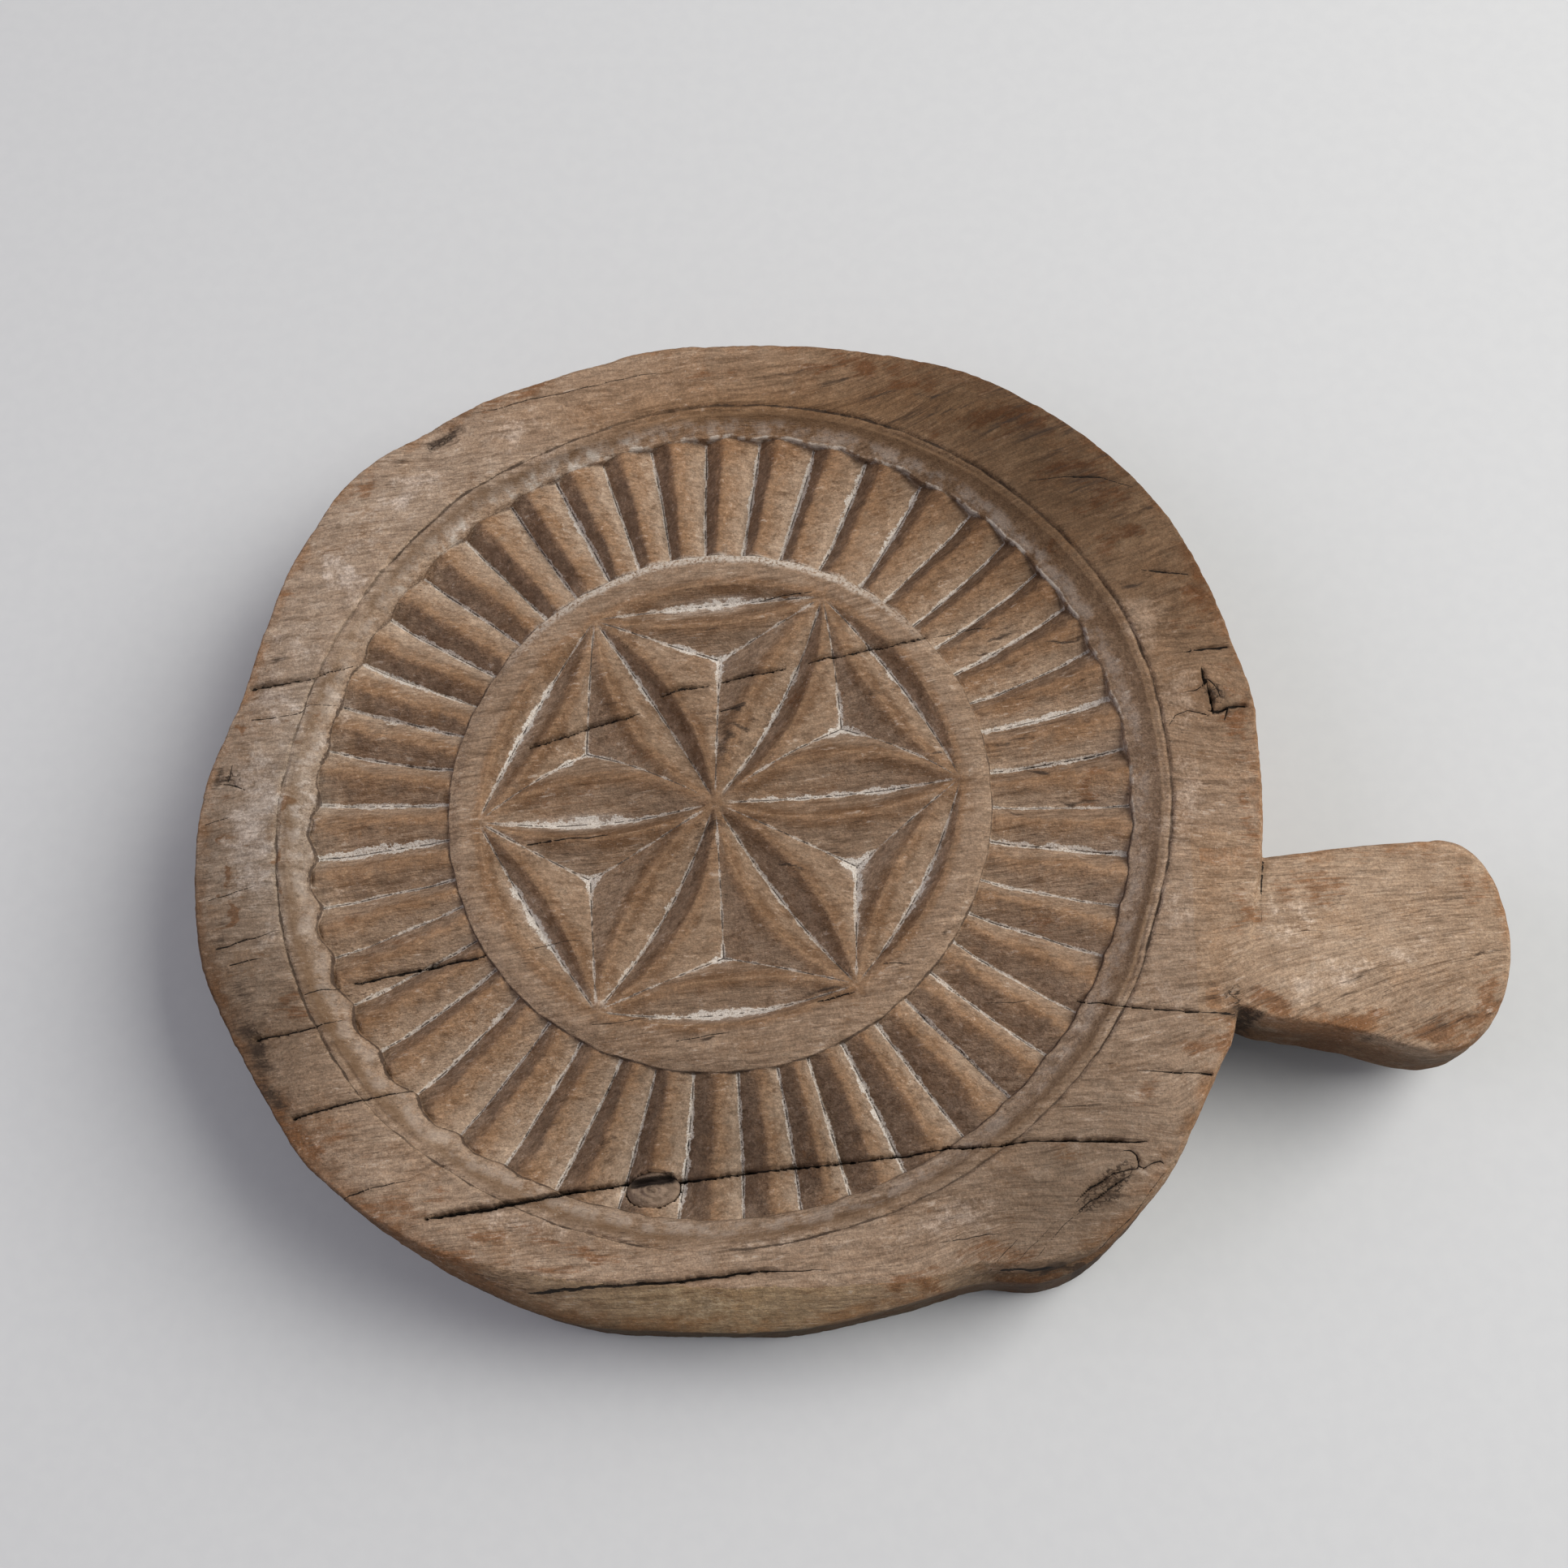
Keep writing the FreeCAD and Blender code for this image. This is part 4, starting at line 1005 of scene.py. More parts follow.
# rusty brown places
RUST = [
    (-124.7, -21.1, 1.1, 2.6, 10, 1.5), (-122.7, -31.8, 1, 2.6, -15, 1.5),
    (-126.4, -26.5, 0.9, 1.6, 20, 1.3), (-125.7, 18.9, 1.8, 2.4, 30, 1.4),
    (-112, -1.7, 1.3, 1.2, 0, 1.6), (-110.9, -16.1, 0.9, 3.2, 0, 1.4), (-110, -26, 0.8, 2.6, 0, 1),
    (-107, 23, 1.4, 3.6, 25, 1.1), (-127, -12, 0.8, 2.4, 0, 1.1), (70, 108, 18, 3, 18, 0.8),
    (92, 92, 14, 3, 24, 0.8), (50, 118, 14, 2.4, 14, 0.8), (105, 72, 10, 2.6, 26, 0.7),
    (28, 124, 10, 2, 8, 0.7), (84, 106, 14, 2.2, 20, 0.7), (-128, -6, 1, 5, 10, 0.8),
    (-104, -55, 6, 3, -50, 0.7), (-90, -84, 9, 4, -40, 0.6), (-72, -104, 10, 4, -30, 0.7),
    (-117, 58, 3, 7, 30, 0.7), (-100, 88, 8, 3, 50, 0.7), (-60, 116, 14, 2.6, 24, 0.6),
    (-10, 121, 20, 1.8, 4, 0.5), (40, 124, 16, 3.5, -12, 0.8), (75, 110, 14, 5, -35, 0.7),
    (98, 86, 9, 8, -50, 0.6), (122, 54, 5, 12, -20, 0.7), (131, 20, 3.5, 12, 0, 0.8),
    (132, -6, 3, 8, 0, 0.7), (130, -30, 4, 8, 0, 0.6), (120, -62, 8, 4, 10, 0.7),
    (106, -76, 10, 4, 30, 0.4), (78, -116.6, 8, 1.8, 0, 1.2), (70, -112, 14, 3, 10, 0.6),
    (50, -119, 10, 2.4, 8, 0.8), (-99, -86, 16, 3, -42, 0.75), (-80, -103, 14, 2.6, -34, 0.75),
    (-60, -115, 12, 2.2, -22, 0.75), (-64, -100, 12, 1.6, -14, 0.5), (-50, -110, 8, 1.6, -4, 0.6),
    (-38, -117, 9, 1.6, -6, 0.7), (-30, -113, 12, 1.6, -8, 0.8), (-5, -112, 8, 1.2, 0, 0.6),
    (86, 70, 5, 1.6, -50, 0.8), (-40, -110, 6, 3, 0, 0.5), (176, -58, 12, 4, 12, 1.1),
    (188, -50, 4, 7, 0, 0.8), (150, -56, 14, 2.5, 2, 1.1), (135, -52, 5, 3, 0, 1),
    (148, -22, 9, 5, 10, 0.6), (186, -22, 5, 6, 40, 0.7), (162, -14, 14, 2.5, 5, 0.6),
    (140, -24, 5, 4, 0, 0.5), (20, 30, 7, 4, 30, 0.5), (-40, 0, 10, 3, 4, 0.5),
    (-20, 14, 8, 3, 60, 0.4), (34, 26, 7, 3, -50, 0.4), (10, 98, 8, 2, 0, 0.4),
    (-92, -8, 3, 5, 0, 0.5), (-93, -30, 5, 3, 15, 0.6), (-85, -38, 6, 2.4, 22, 0.7),
    (94, 4, 4, 8, 0, 0.5), (84, -34, 8, 4, -20, 0.6)]

# places where the wood has crazed into a net of small cracks
NETS = [
    (95.5, -96, 8.5, 2.8, 40, 1.3), (126, 27, 4.5, 5, 0, 0.8), (-112, -64, 8, 3, -60, 0.9),
    (-104, -78, 6, 2.5, -50, 0.7), (-79, 103, 5, 2.4, 35, 0.9), (-126, 5, 3.5, 2.5, 0, 0.8),
    (127, -50, 3, 4, 0, 0.8), (103, 24, 3, 1.5, 0, 0.5)]

# broad zones of tone: x, y, reach along, reach across, turn, how much darker, how much warmer
ZONES = [
    (85, 95, 65, 30, -45, 0.66, 1.2), (0, 118, 50, 14, 0, 0.10, 0.5),
    (-95, 75, 45, 20, 50, -0.05, -0.25), (-124, -15, 14, 35, 0, 0.26, -0.35),
    (-112, -62, 25, 20, -60, 0.40, 0.3), (88, -98, 25, 20, 40, 0.40, 0.1),
    (110, -55, 25, 25, 0, 0.15, 0.1), (122, 20, 15, 45, 0, 0.10, 0.3),
    (0, 0, 76, 76, 0, 0.32, 0.45), (10, -88, 40, 18, 0, 0.30, 0.0),
    (-109, 0, 6, 40, 0, -0.10, -0.6), (0, 109, 40, 6, 0, 0.15, 0.7),
    (150, -32, 30, 22, 0, -0.20, -0.4), (175, -58, 25, 8, 20, 0.20, 0.0)]


def spots(x, y, table):
    """Strongest of the soft oval spots at each point."""
    total = np.zeros_like(x)
    for centre_x, centre_y, length, width, turn, strength in table:
        reach = 3 * max(length, width)
        near = np.nonzero((np.abs(x - centre_x) < reach) & (np.abs(y - centre_y) < reach))[0]
        along, across = turned(x[near] - centre_x, y[near] - centre_y, turn)
        along, across = along / length, across / width
        spot = strength * np.exp(-0.9 * (along * along + across * across))
        total[near] = np.maximum(total[near], spot)
    return total


def grain_coords(x, y, z):
    """Place along, across and through the grain, which bends by region and round knots."""
    across = y - 0.13 * x
    across = across - 0.26 * (x - 20.0) * ease(10.0, 115.0, y) * ease(-10.0, 60.0, x)
    across = across + 0.10 * (x - 90.0) * ease(90.0, 130.0, x) * ease(60.0, 20.0, np.abs(y - 10))
    across = across - 0.34 * (x - 120.0) * ease(-14.0, -50.0, y) * ease(118.0, 134.0, x)
    across = across + (0.10 * (x - 60.0) * ease(50.0, 80.0, x) * ease(-55.0, -80.0, y)
                       * ease(125.0, 110.0, x))
    across = across - 0.48 * (x - 45.0) * ease(-92.0, -122.0, y) * ease(45.0, 75.0, x)
    for knot_x, knot_y, size, strength in KNOTS:
        dx, dy = x - knot_x, y - knot_y
        near = np.exp(-((dx / (2.0 * size)) ** 2 + (dy / (1.5 * size)) ** 2))
        across = across - strength * dy * near
    across = (across + 1.5 * layered(x / 48.0, y / 20.0, seed=201, octaves=2)
              + 0.45 * layered(x / 15.0, y / 6.0, seed=203, octaves=2))
    through = z + 2.0 * noise(x / 40.0, y / 30.0, seed=205)
    return np.stack([x + 0.13 * y, across, through], 1)


def wood_tone_and_shade(x, y, z, wall):
    """Broad colour of the wood, with painted shade and painted light on its walls, multiplied into
    the material.
    """
    dark, warm = np.zeros(len(x)), np.zeros(len(x))
    for centre_x, centre_y, length, width, turn, darker, warmer in ZONES:
        along, across = turned(x - centre_x, y - centre_y, turn)
        along, across = along / length, across / width
        weight = np.exp(-0.7 * (along * along + across * across))
        dark += darker * weight
        warm += warmer * weight
    light = 0.86 * (1 - np.clip(dark, -0.3, 0.72))
    ones = np.ones(len(x))
    colour = light[:, None] * np.stack([ones, 0.885 - 0.13 * warm, 0.79 - 0.24 * warm], 1)
    # painted shade: the walls darken away from the face, most on the -Y side, and just below the
    # top edge near 225 degrees; near 272 degrees the upper bevel is painted lighter and warmer and
    # the wall below it darker still
    radius = np.hypot(x, y) + 1e-6
    angle = np.arctan2(y, x)
    outer = ease(70.0, 118.0, radius)
    low = outer * ease(0.2, -0.8, y / radius)
    bottom = outer * bump(angle, 272.0, 36.0)
    below = ease(RIM_Z - 3.0 - 8.0 * bottom, RIM_Z - 15.0 - 4.0 * bottom, z)
    painted_shade = 1 - below * (0.25 + 0.34 * low)
    painted_shade = painted_shade * (1 - 0.45 * outer * bump(angle, 225.0, 30.0)
                     * ease(RIM_Z - 0.6, RIM_Z - 2.6, z))
    painted_shade = (painted_shade * (1 - 0.55 * bottom * ease(RIM_Z - 15.0, RIM_Z - 18.0, z))
             * (1 + 0.16 * bottom))
    tint = np.stack([ones, 0.96 + 0.02 * bottom, 0.90 - 0.10 * bottom], 1)
    return np.where(wall[:, None], colour * painted_shade[:, None] * tint, colour)


def marks(x, y, z, front):
    """Attributes that tell the material where the wood is marked and where light and shade are
    painted.
    """
    ragged_x = 3.0 * layered(x / 6.0, y / 3.0, seed=211, octaves=3)
    ragged_y = 2.2 * layered(x / 7.0 + 40, y / 3.5, seed=213, octaves=3)

    def ragged_spots(table, amount):
        return spots(x + ragged_x * amount, y + ragged_y * amount, table)

    wall = ~front
    stain = ragged_spots(STAINS_AND_SHADOWS, 1)
    stain = np.where(wall & (z < RIM_Z - 7), stain * 0.7, stain)
    seen_x, seen_y = seen_on_plane(x, y, z - CREST_Z)
    # little chalk or dirt gathers where the petals meet
    quiet = ease(6.5, 1.5, np.hypot(x - CENTRE[0], y - CENTRE[1]))
    for tip_x, tip_y in TIPS:
        quiet = np.maximum(quiet, 0.75 * ease(5.0, 1.0, np.hypot(x - tip_x, y - tip_y)))
    return dict(net=ragged_spots(NETS, 0.4), quiet=quiet, pale=ragged_spots(PALE, 1.6),
                rust=ragged_spots(RUST, 1.3), stain=stain,
                chalk=np.where(front, spots(seen_x, seen_y, CHALK), 0.0),
                tone_and_shade=wood_tone_and_shade(x, y, z, wall), grain=grain_coords(x, y, z))


# ---------------------------------------------------------------- meshes and objects
def to_mesh(name, verts, quads, ngons):
    mesh = bpy.data.meshes.new(name)
    loops = np.concatenate([quads.ravel(), [i for ngon in ngons for i in ngon]]).astype(np.int32)
    totals = np.concatenate([np.full(len(quads), 4), [len(ngon) for ngon in ngons]])
    totals = totals.astype(np.int32)
    starts = np.concatenate([[0], np.cumsum(totals)[:-1]]).astype(np.int32)
    mesh.vertices.add(len(verts))
    mesh.vertices.foreach_set("co", (verts / 1000.0).astype(np.float32).ravel())
    mesh.loops.add(len(loops))
    mesh.loops.foreach_set("vertex_index", loops)
    mesh.polygons.add(len(totals))
    mesh.polygons.foreach_set("loop_start", starts)
    mesh.polygons.foreach_set("loop_total", totals)
    mesh.update(calc_edges=True)
    mesh.polygons.foreach_set("use_smooth", np.ones(len(totals), bool))
    mesh.validate()
    mesh.update()
    return mesh


def add_attribute(mesh, name, values):
    kind, field = ("FLOAT_VECTOR", "vector") if values.ndim == 2 else ("FLOAT", "value")
    attribute = mesh.attributes.new(name, kind, "POINT")
    attribute.data.foreach_set(field, values.astype(np.float32).ravel())


def link(name, data):
    item = bpy.data.objects.new(name, data)
    bpy.context.scene.collection.objects.link(item)
    return item


def add_piece(name, mesh, cad_piece):
    piece = link(name, mesh)
    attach(piece, "root")
    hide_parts(cad_piece)
    return piece


def knot_mesh():
    """Dead knot: a hollowed oval top on a plug that sits in the socket."""
    rings, around = 40, 140
    disc = [(0.0, 0.0)]
    for i in range(1, rings + 1):
        for j in range(around):
            angle = 2 * math.pi * j / around
            disc.append((i / rings * math.cos(angle), i / rings * math.sin(angle)))
    along, across = np.array(disc).T
    radius, angle = np.hypot(along, across), np.arctan2(across, along)
    edge = 0.990 + 0.008 * np.sin(3 * angle + 0.6) + 0.005 * np.sin(7 * angle)
    cos, sin = math.cos(math.radians(KNOT_TURN)), math.sin(math.radians(KNOT_TURN))
    x = KNOT_X + (along * cos * KNOT_LONG - across * sin * KNOT_SHORT) * edge
    y = KNOT_Y + (along * sin * KNOT_LONG + across * cos * KNOT_SHORT) * edge
    # the top half follows the carving and half lies at a constant height
    top = (0.45 * plain_height(x, y)[0] + 0.55 * (-3.9) - 0.30
           + 0.10 * layered(x / 1.4, y / 1.4, seed=101, octaves=2))
    growth_rings = 0.13 * np.cos(radius * 17.0 + 1.2 * np.sin(2 * angle))
    top = top + growth_rings * ease(1.0, 0.8, radius)
    # rotten hollow along the +Y side
    top = (top - 2.6 * np.exp(-((across - 0.50 - 0.10 * along) / 0.20) ** 2)
           * ease(0.98, 0.55, np.abs(along)))
    top = top - 0.5 * radius ** 8
    parts = [np.stack([x, y, CREST_Z + top], 1)]
    bottom = 16.2
    for z in (CREST_Z - 8.4, CREST_Z - 10.0, 22.0, bottom):
        parts.append(np.stack([x[-around:], y[-around:], np.full(around, z)], 1))
    parts.append(np.array([[KNOT_X, KNOT_Y, bottom]]))
    verts = np.concatenate(parts)

    # the side rings are numbered on from the rings of the top
    quads = []
    for i in range(rings + 3):
        start, end = 1 + i * around, 1 + (i + 1) * around
        for j in range(around):
            after = (j + 1) % around
            quads.append([start + j, end + j, end + after, start + after])
    last = len(verts) - 1
    lowest = last - around
    triangles = [[0, 1 + j, 1 + (j + 1) % around] for j in range(around)]
    triangles += [[lowest + (j + 1) % around, lowest + j, last] for j in range(around)]
    return to_mesh("dead_knot_piece", verts, np.array(quads), triangles)


verts, quads, ngons, attributes = block_mesh()
block_data = to_mesh("carved_block", verts, quads, ngons)
for name, values in attributes.items():
    add_attribute(block_data, name, values)
block = add_piece("carved_block", block_data, "mould_block")
knot = add_piece("dead_knot_piece", knot_mesh(), "dead_knot")


# ---------------------------------------------------------------- shader building
class Signal:
    """An output socket; arithmetic on it adds Math nodes."""

    def __init__(self, graph, socket):
        self.graph, self.socket = graph, socket

    def __add__(self, other):
        return self.graph.math("ADD", self, other)

    def __radd__(self, other):
        return self.graph.math("ADD", other, self)

    def __sub__(self, other):
        return self.graph.math("SUBTRACT", self, other)

    def __mul__(self, other):
        return self.graph.math("MULTIPLY", self, other)

    def __abs__(self):
        return self.graph.math("ABSOLUTE", self)

    def swing(self, amount):
        """A 0-1 noise centred on zero and scaled."""
        return (self - 0.5) * amount

    def between(self, start, end, low=0.0, high=1.0, linear=False):
        """Goes from low to high while the value goes from start to end, and stays there."""
        node = self.graph.new("ShaderNodeMapRange",
                              interpolation_type="LINEAR" if linear else "SMOOTHSTEP")
        node.clamp = True
        self.graph.fill(node, {"Value": self, "From Min": start, "From Max": end,
                               "To Min": low, "To Max": high})
        return Signal(self.graph, node.outputs["Result"])


class Graph:
    """Builds the nodes of one material."""

    def __init__(self, name):
        self.material = bpy.data.materials.new(name)
        self.material.use_nodes = True
        self.tree = self.material.node_tree
        self.tree.nodes.clear()

    def new(self, kind, **settings):
        node = self.tree.nodes.new(kind)
        for name, value in settings.items():
            setattr(node, name, value)
        return node

    def fill(self, node, values):
        for key, value in values.items():
            socket = node.inputs[key]
            if isinstance(value, Signal):
                self.tree.links.new(value.socket, socket)
            elif isinstance(value, tuple) and socket.type == "RGBA":
                socket.default_value = (*value, 1.0)
            else:
                socket.default_value = value

    def attribute(self, name, output="Fac"):
        node = self.new("ShaderNodeAttribute", attribute_type="GEOMETRY", attribute_name=name)
        return Signal(self, node.outputs[output])

    def math(self, operation, *values):
        node = self.new("ShaderNodeMath", operation=operation)
        self.fill(node, dict(enumerate(values)))
        return Signal(self, node.outputs[0])

    def vector_math(self, operation, first, second):
        node = self.new("ShaderNodeVectorMath", operation=operation)
        self.fill(node, {0: first, 1: second})
        return Signal(self, node.outputs[0])

    def scaled(self, vector, factor):
        node = self.new("ShaderNodeVectorMath", operation="SCALE")
        self.fill(node, {0: vector, "Scale": factor})
        return Signal(self, node.outputs[0])

    def mix(self, share, start, end):
        node = self.new("ShaderNodeMix", data_type="RGBA")
        self.fill(node, {"Factor": share, 6: start, 7: end})
        return Signal(self, node.outputs[2])

    def mix_value(self, share, start, end):
        node = self.new("ShaderNodeMix", data_type="FLOAT")
        self.fill(node, {0: share, 2: start, 3: end})
        return Signal(self, node.outputs[0])

    def place(self, size, source, turn=0.0, shift=(0, 0, 0)):
        """Coordinates in which a feature of the given size measures one."""
        node = self.new("ShaderNodeMapping", vector_type="POINT")
        self.fill(node, {"Vector": source, "Location": shift, "Rotation": (0, 0, turn)})
        node.inputs["Scale"].default_value = tuple(1 / length for length in size)
        return Signal(self, node.outputs["Vector"])

    def object_coords(self, scale):
        """Object coordinates times a scale; 1000 gives millimetres."""
        coords = Signal(self, self.new("ShaderNodeTexCoord").outputs["Object"])
        node = self.new("ShaderNodeMapping", vector_type="POINT")
        self.fill(node, {"Vector": coords})
        node.inputs["Scale"].default_value = (scale, scale, scale)
        return Signal(self, node.outputs["Vector"])

    def noise(self, coords, detail=3.0, rough=0.55, distortion=0.0, output="Fac"):
        node = self.new("ShaderNodeTexNoise", noise_dimensions="3D")
        self.fill(node, {"Vector": coords, "Scale": 1.0, "Detail": detail, "Roughness": rough,
                         "Distortion": distortion})
        return Signal(self, node.outputs[output])

    def axes(self, vector):
        node = self.new("ShaderNodeSeparateXYZ")
        self.fill(node, {0: vector})
        return [Signal(self, output) for output in node.outputs]

    def bumps(self, layers):
        """Stack bump nodes given as (height, strength, distance in metres)."""
        normal = None
        for height, strength, distance in layers:
            node = self.new("ShaderNodeBump")
            self.fill(node, {"Strength": strength, "Distance": distance, "Height": height})
            if normal is not None:
                self.fill(node, {"Normal": normal})
            normal = Signal(self, node.outputs["Normal"])
        return normal

    def finish(self, colour, rough, specular, normal=None):
        shader = self.new("ShaderNodeBsdfPrincipled")
        self.fill(shader, {"Base Color": colour, "Roughness": rough,
                           "Specular IOR Level": specular})
        if normal is not None:
            self.fill(shader, {"Normal": normal})
        output = self.new("ShaderNodeOutputMaterial")
        self.tree.links.new(shader.outputs[0], output.inputs[0])
        return self.material


class Coated(Graph):
    """A graph that paints coat after coat over a base colour."""

    def coat(self, mask, colour, strength=None):
        if strength is not None:
            mask = mask * strength
        self.base = self.mix(mask, self.base, colour)


# ---------------------------------------------------------------- weathered wood, with painted light and shade
class Wood(Coated):
    """Material of the carved block; sizes are in millimetres."""

    def along(self, length, width, shift=(0, 0, 0), **noise):
        """Noise drawn out along the grain."""
        return self.noise(self.place((length, width, width), self.grain, shift=shift), **noise)

    def spread(self, size, detail, rough, shift=(0, 0, 0)):
        """Noise of the same size in every direction."""
        coords = self.place((size, size, size), self.coords, shift=shift)
        return self.noise(coords, detail=detail, rough=rough)

    def textures(self):
        self.grain = self.attribute("grain", "Vector")
        self.tone_and_shade = self.attribute("tone_and_shade", "Vector")
        self.coords = self.object_coords(1000)
        self.rings = self.along(85.0, 5.2, detail=2.0)
        self.streak = self.along(24.0, 1.9, detail=4.0, rough=0.62, shift=(3, 8, 1))
        self.fibre = self.along(7.5, 0.42, rough=0.6, shift=(9, 2, 4))
        self.dash = self.along(5.5, 0.36, detail=2.0, rough=0.5, shift=(5, 1, 7))
        self.mottle = self.spread(13.0, detail=4.0, rough=0.6)
        self.blotch = self.spread(4.2, detail=4.0, rough=0.62, shift=(5, 5, 2))
        self.gate = self.spread(26.0, detail=2.0, rough=0.5, shift=(1, 9, 3))
        self.fine = self.spread(0.85, detail=3.0, rough=0.7)
        self.grit = self.spread(0.42, detail=2.0, rough=0.7, shift=(2, 2, 2))
        self.patchy = self.spread(6.0, detail=3.0, rough=0.6, shift=(7, 1, 1))
        self.speck = self.along(4.6, 1.25, detail=4.0, rough=0.72, shift=(3, 3, 9),
                                distortion=0.4)
        self.scratch = self.along(9.0, 0.8, rough=0.65, shift=(2, 7, 3), distortion=0.6)

    def fields(self):
        for name in ("valley", "crest", "rise", "face", "check", "cwid", "scribe", "ring_in",
                     "ring_out", "stain", "chalk"):
            setattr(self, name, self.attribute(name))
        self.wobble = self.blotch.swing(1.5)
        self.wobble_2 = self.patchy.swing(1.2)
        self.off_flutes = abs(self.attribute("fluted")).between(0.5, 0.0)

    def bare_wood(self):
        self.base = self.mix(self.rings.between(0.34, 0.66),
                             (0.300, 0.226, 0.166), (0.370, 0.290, 0.222))
        # warm brown and dull grey patches
        self.coat(self.mottle.between(0.50, 0.70), (0.330, 0.215, 0.128), strength=0.55)
        self.coat(self.blotch.between(0.52, 0.68), (0.460, 0.395, 0.330), strength=0.50)
        self.coat(self.blotch.between(0.46, 0.32), (0.195, 0.130, 0.082), strength=0.45)
        # dark and pale streaks and fibres
        self.coat(self.streak.between(0.53, 0.68), (0.140, 0.088, 0.052), strength=0.70)
        self.coat(self.streak.between(0.44, 0.30), (0.470, 0.395, 0.315), strength=0.42)
        self.coat(self.fibre.between(0.52, 0.68)
                  * self.gate.between(0.35, 0.60, low=0.22, high=0.58), (0.125, 0.080, 0.050))
        self.coat(self.fibre.between(0.46, 0.34), (0.520, 0.450, 0.380), strength=0.22)

    def carving_wear_and_shading(self):
        wobble, rise, petal = self.wobble, self.rise, self.off_flutes
        # crests rubbed to warm orange brown, darkest on top
        self.worn = (rise + wobble + self.wobble_2).between(0.40, 1.02)
        self.coat(self.worn * self.mix_value(petal, 0.54, 0.42), (0.330, 0.203, 0.108))
        self.coat((rise + wobble + self.wobble_2).between(0.95, 1.20), (0.170, 0.094, 0.046),
                  strength=0.34)
        # rosette crests rubbed paler, with a dark brown band a little below them
        hollow = self.attribute("deep").between(0.02, 0.25)
        self.coat((self.crest + wobble * 0.8).between(0.80, 0.15)
                  * (hollow * petal * self.blotch.between(0.42, 0.58)),
                  (0.520, 0.395, 0.270), strength=0.55)
        self.coat(abs(self.crest + wobble * 2.4 - 2.2).between(2.4, 0.2)
                  * (petal * hollow * self.mottle.between(0.44, 0.58)),
                  (0.150, 0.088, 0.046), strength=0.55)
        # painted shade on the sides of the flutes turned away from the light, painted light near
        # the valley on their sides turned towards it
        self.coat(self.face.between(0.0, -0.85, linear=True) * (rise + wobble).between(0.98, 0.62)
                  * self.blotch.between(0.36, 0.62, low=0.62, high=0.30), (0.165, 0.115, 0.082))
        self.coat((rise + wobble).between(0.58, 0.05)
                  * (self.face.between(-0.25, 0.75, linear=True) * 0.62), (0.560, 0.490, 0.415))
        # dust in the hollows of the rosette
        self.coat((self.valley + wobble * 2.0).between(3.2, 0.2) * petal
                  * (hollow * self.patchy.between(0.46, 0.66)),
                  (0.500, 0.435, 0.365), strength=0.45)

    def edge_wear_and_highlight(self):
        # orange brown outer edge, darker towards -X -Y
        edge = self.attribute("edge")
        self.coat((edge + self.blotch.swing(11.0)).between(4.6, 0.6)
                  * self.mottle.between(0.40, 0.60), (0.300, 0.158, 0.070), strength=0.55)
        x, y, _ = self.axes(self.coords)
        corner = ((x + y) * -0.707).between(92.0, 122.0)
        self.coat((edge + self.blotch.swing(9.0)).between(7.5, 1.0) * corner,
                  (0.165, 0.090, 0.046), strength=0.62)
        # pale scuffed places, partly painted highlight, then rusty ones
        patch = (self.attribute("pale") + (self.blotch.swing(1.6) + self.fine.swing(0.9)))
        self.coat(patch.between(0.30, 1.15) * self.attribute("pale").between(0.02, 0.25),
                  (0.640, 0.585, 0.540), strength=0.72)
        patch = (self.attribute("rust") + (self.patchy.swing(1.8) + self.scratch.swing(1.6)))
        self.coat(patch.between(0.34, 0.90) * self.attribute("rust").between(0.02, 0.25),
                  (0.215, 0.112, 0.054), strength=0.78)

    def surface_grime_and_shading(self):
        # tone from the mesh, with painted shade and painted light on the walls
        self.base = self.vector_math("MULTIPLY", self.base, self.tone_and_shade)
        # chalky haze round the deposits in the rosette
        haze = ((self.valley + self.wobble * 1.8).between(4.2, 0.6) * self.off_flutes
                * self.chalk.between(0.5, 2.2, high=0.70))
        self.coat(haze * self.blotch.between(0.36, 0.58, low=0.4), (0.500, 0.440, 0.385))
        # light and dark grain of the surface
        self.base = self.scaled(self.base, (self.grit * 0.55 + self.fine * 0.45).between(
            0.34, 0.66, low=0.70, high=1.30, linear=True))
        self.base = self.scaled(self.base, (self.speck * 0.7 + self.scratch * 0.3).between(
            0.36, 0.64, low=0.70, high=1.30, linear=True))
        # chalky and rusty specks, dark scratches
        self.lightness = self.axes(self.tone_and_shade)[0].between(0.35, 0.72, low=0.12)
        self.coat(self.speck.between(0.56, 0.70) * self.patchy.between(0.46, 0.60)
                  * self.lightness, (0.520, 0.455, 0.390), strength=0.45)
        self.coat(self.speck.between(0.45, 0.34) * self.mottle.between(0.46, 0.62),
                  (0.170, 0.088, 0.042), strength=0.55)
        self.coat(self.scratch.between(0.66, 0.74) * self.mottle.between(0.42, 0.58),
                  (0.070, 0.044, 0.028), strength=0.55)
        # painted shade as a brown band where the sloping band is steep below its upper edge,
        # painted light at its foot
        self.coat(abs(self.scribe + 3.0 + self.wobble * 1.4).between(2.6, 0.3)
                  * self.gate.between(0.36, 0.58, low=0.35), (0.130, 0.074, 0.038), strength=0.66)
        self.coat(abs(self.ring_out - 2.6).between(2.4, 0.6) * self.blotch.between(0.40, 0.58),
                  (0.420, 0.360, 0.310), strength=0.28)
        # dark dashes of open pores
        self.coat(self.dash.between(0.64, 0.73) * self.gate.between(0.38, 0.56),
                  (0.050, 0.031, 0.020), strength=0.70)

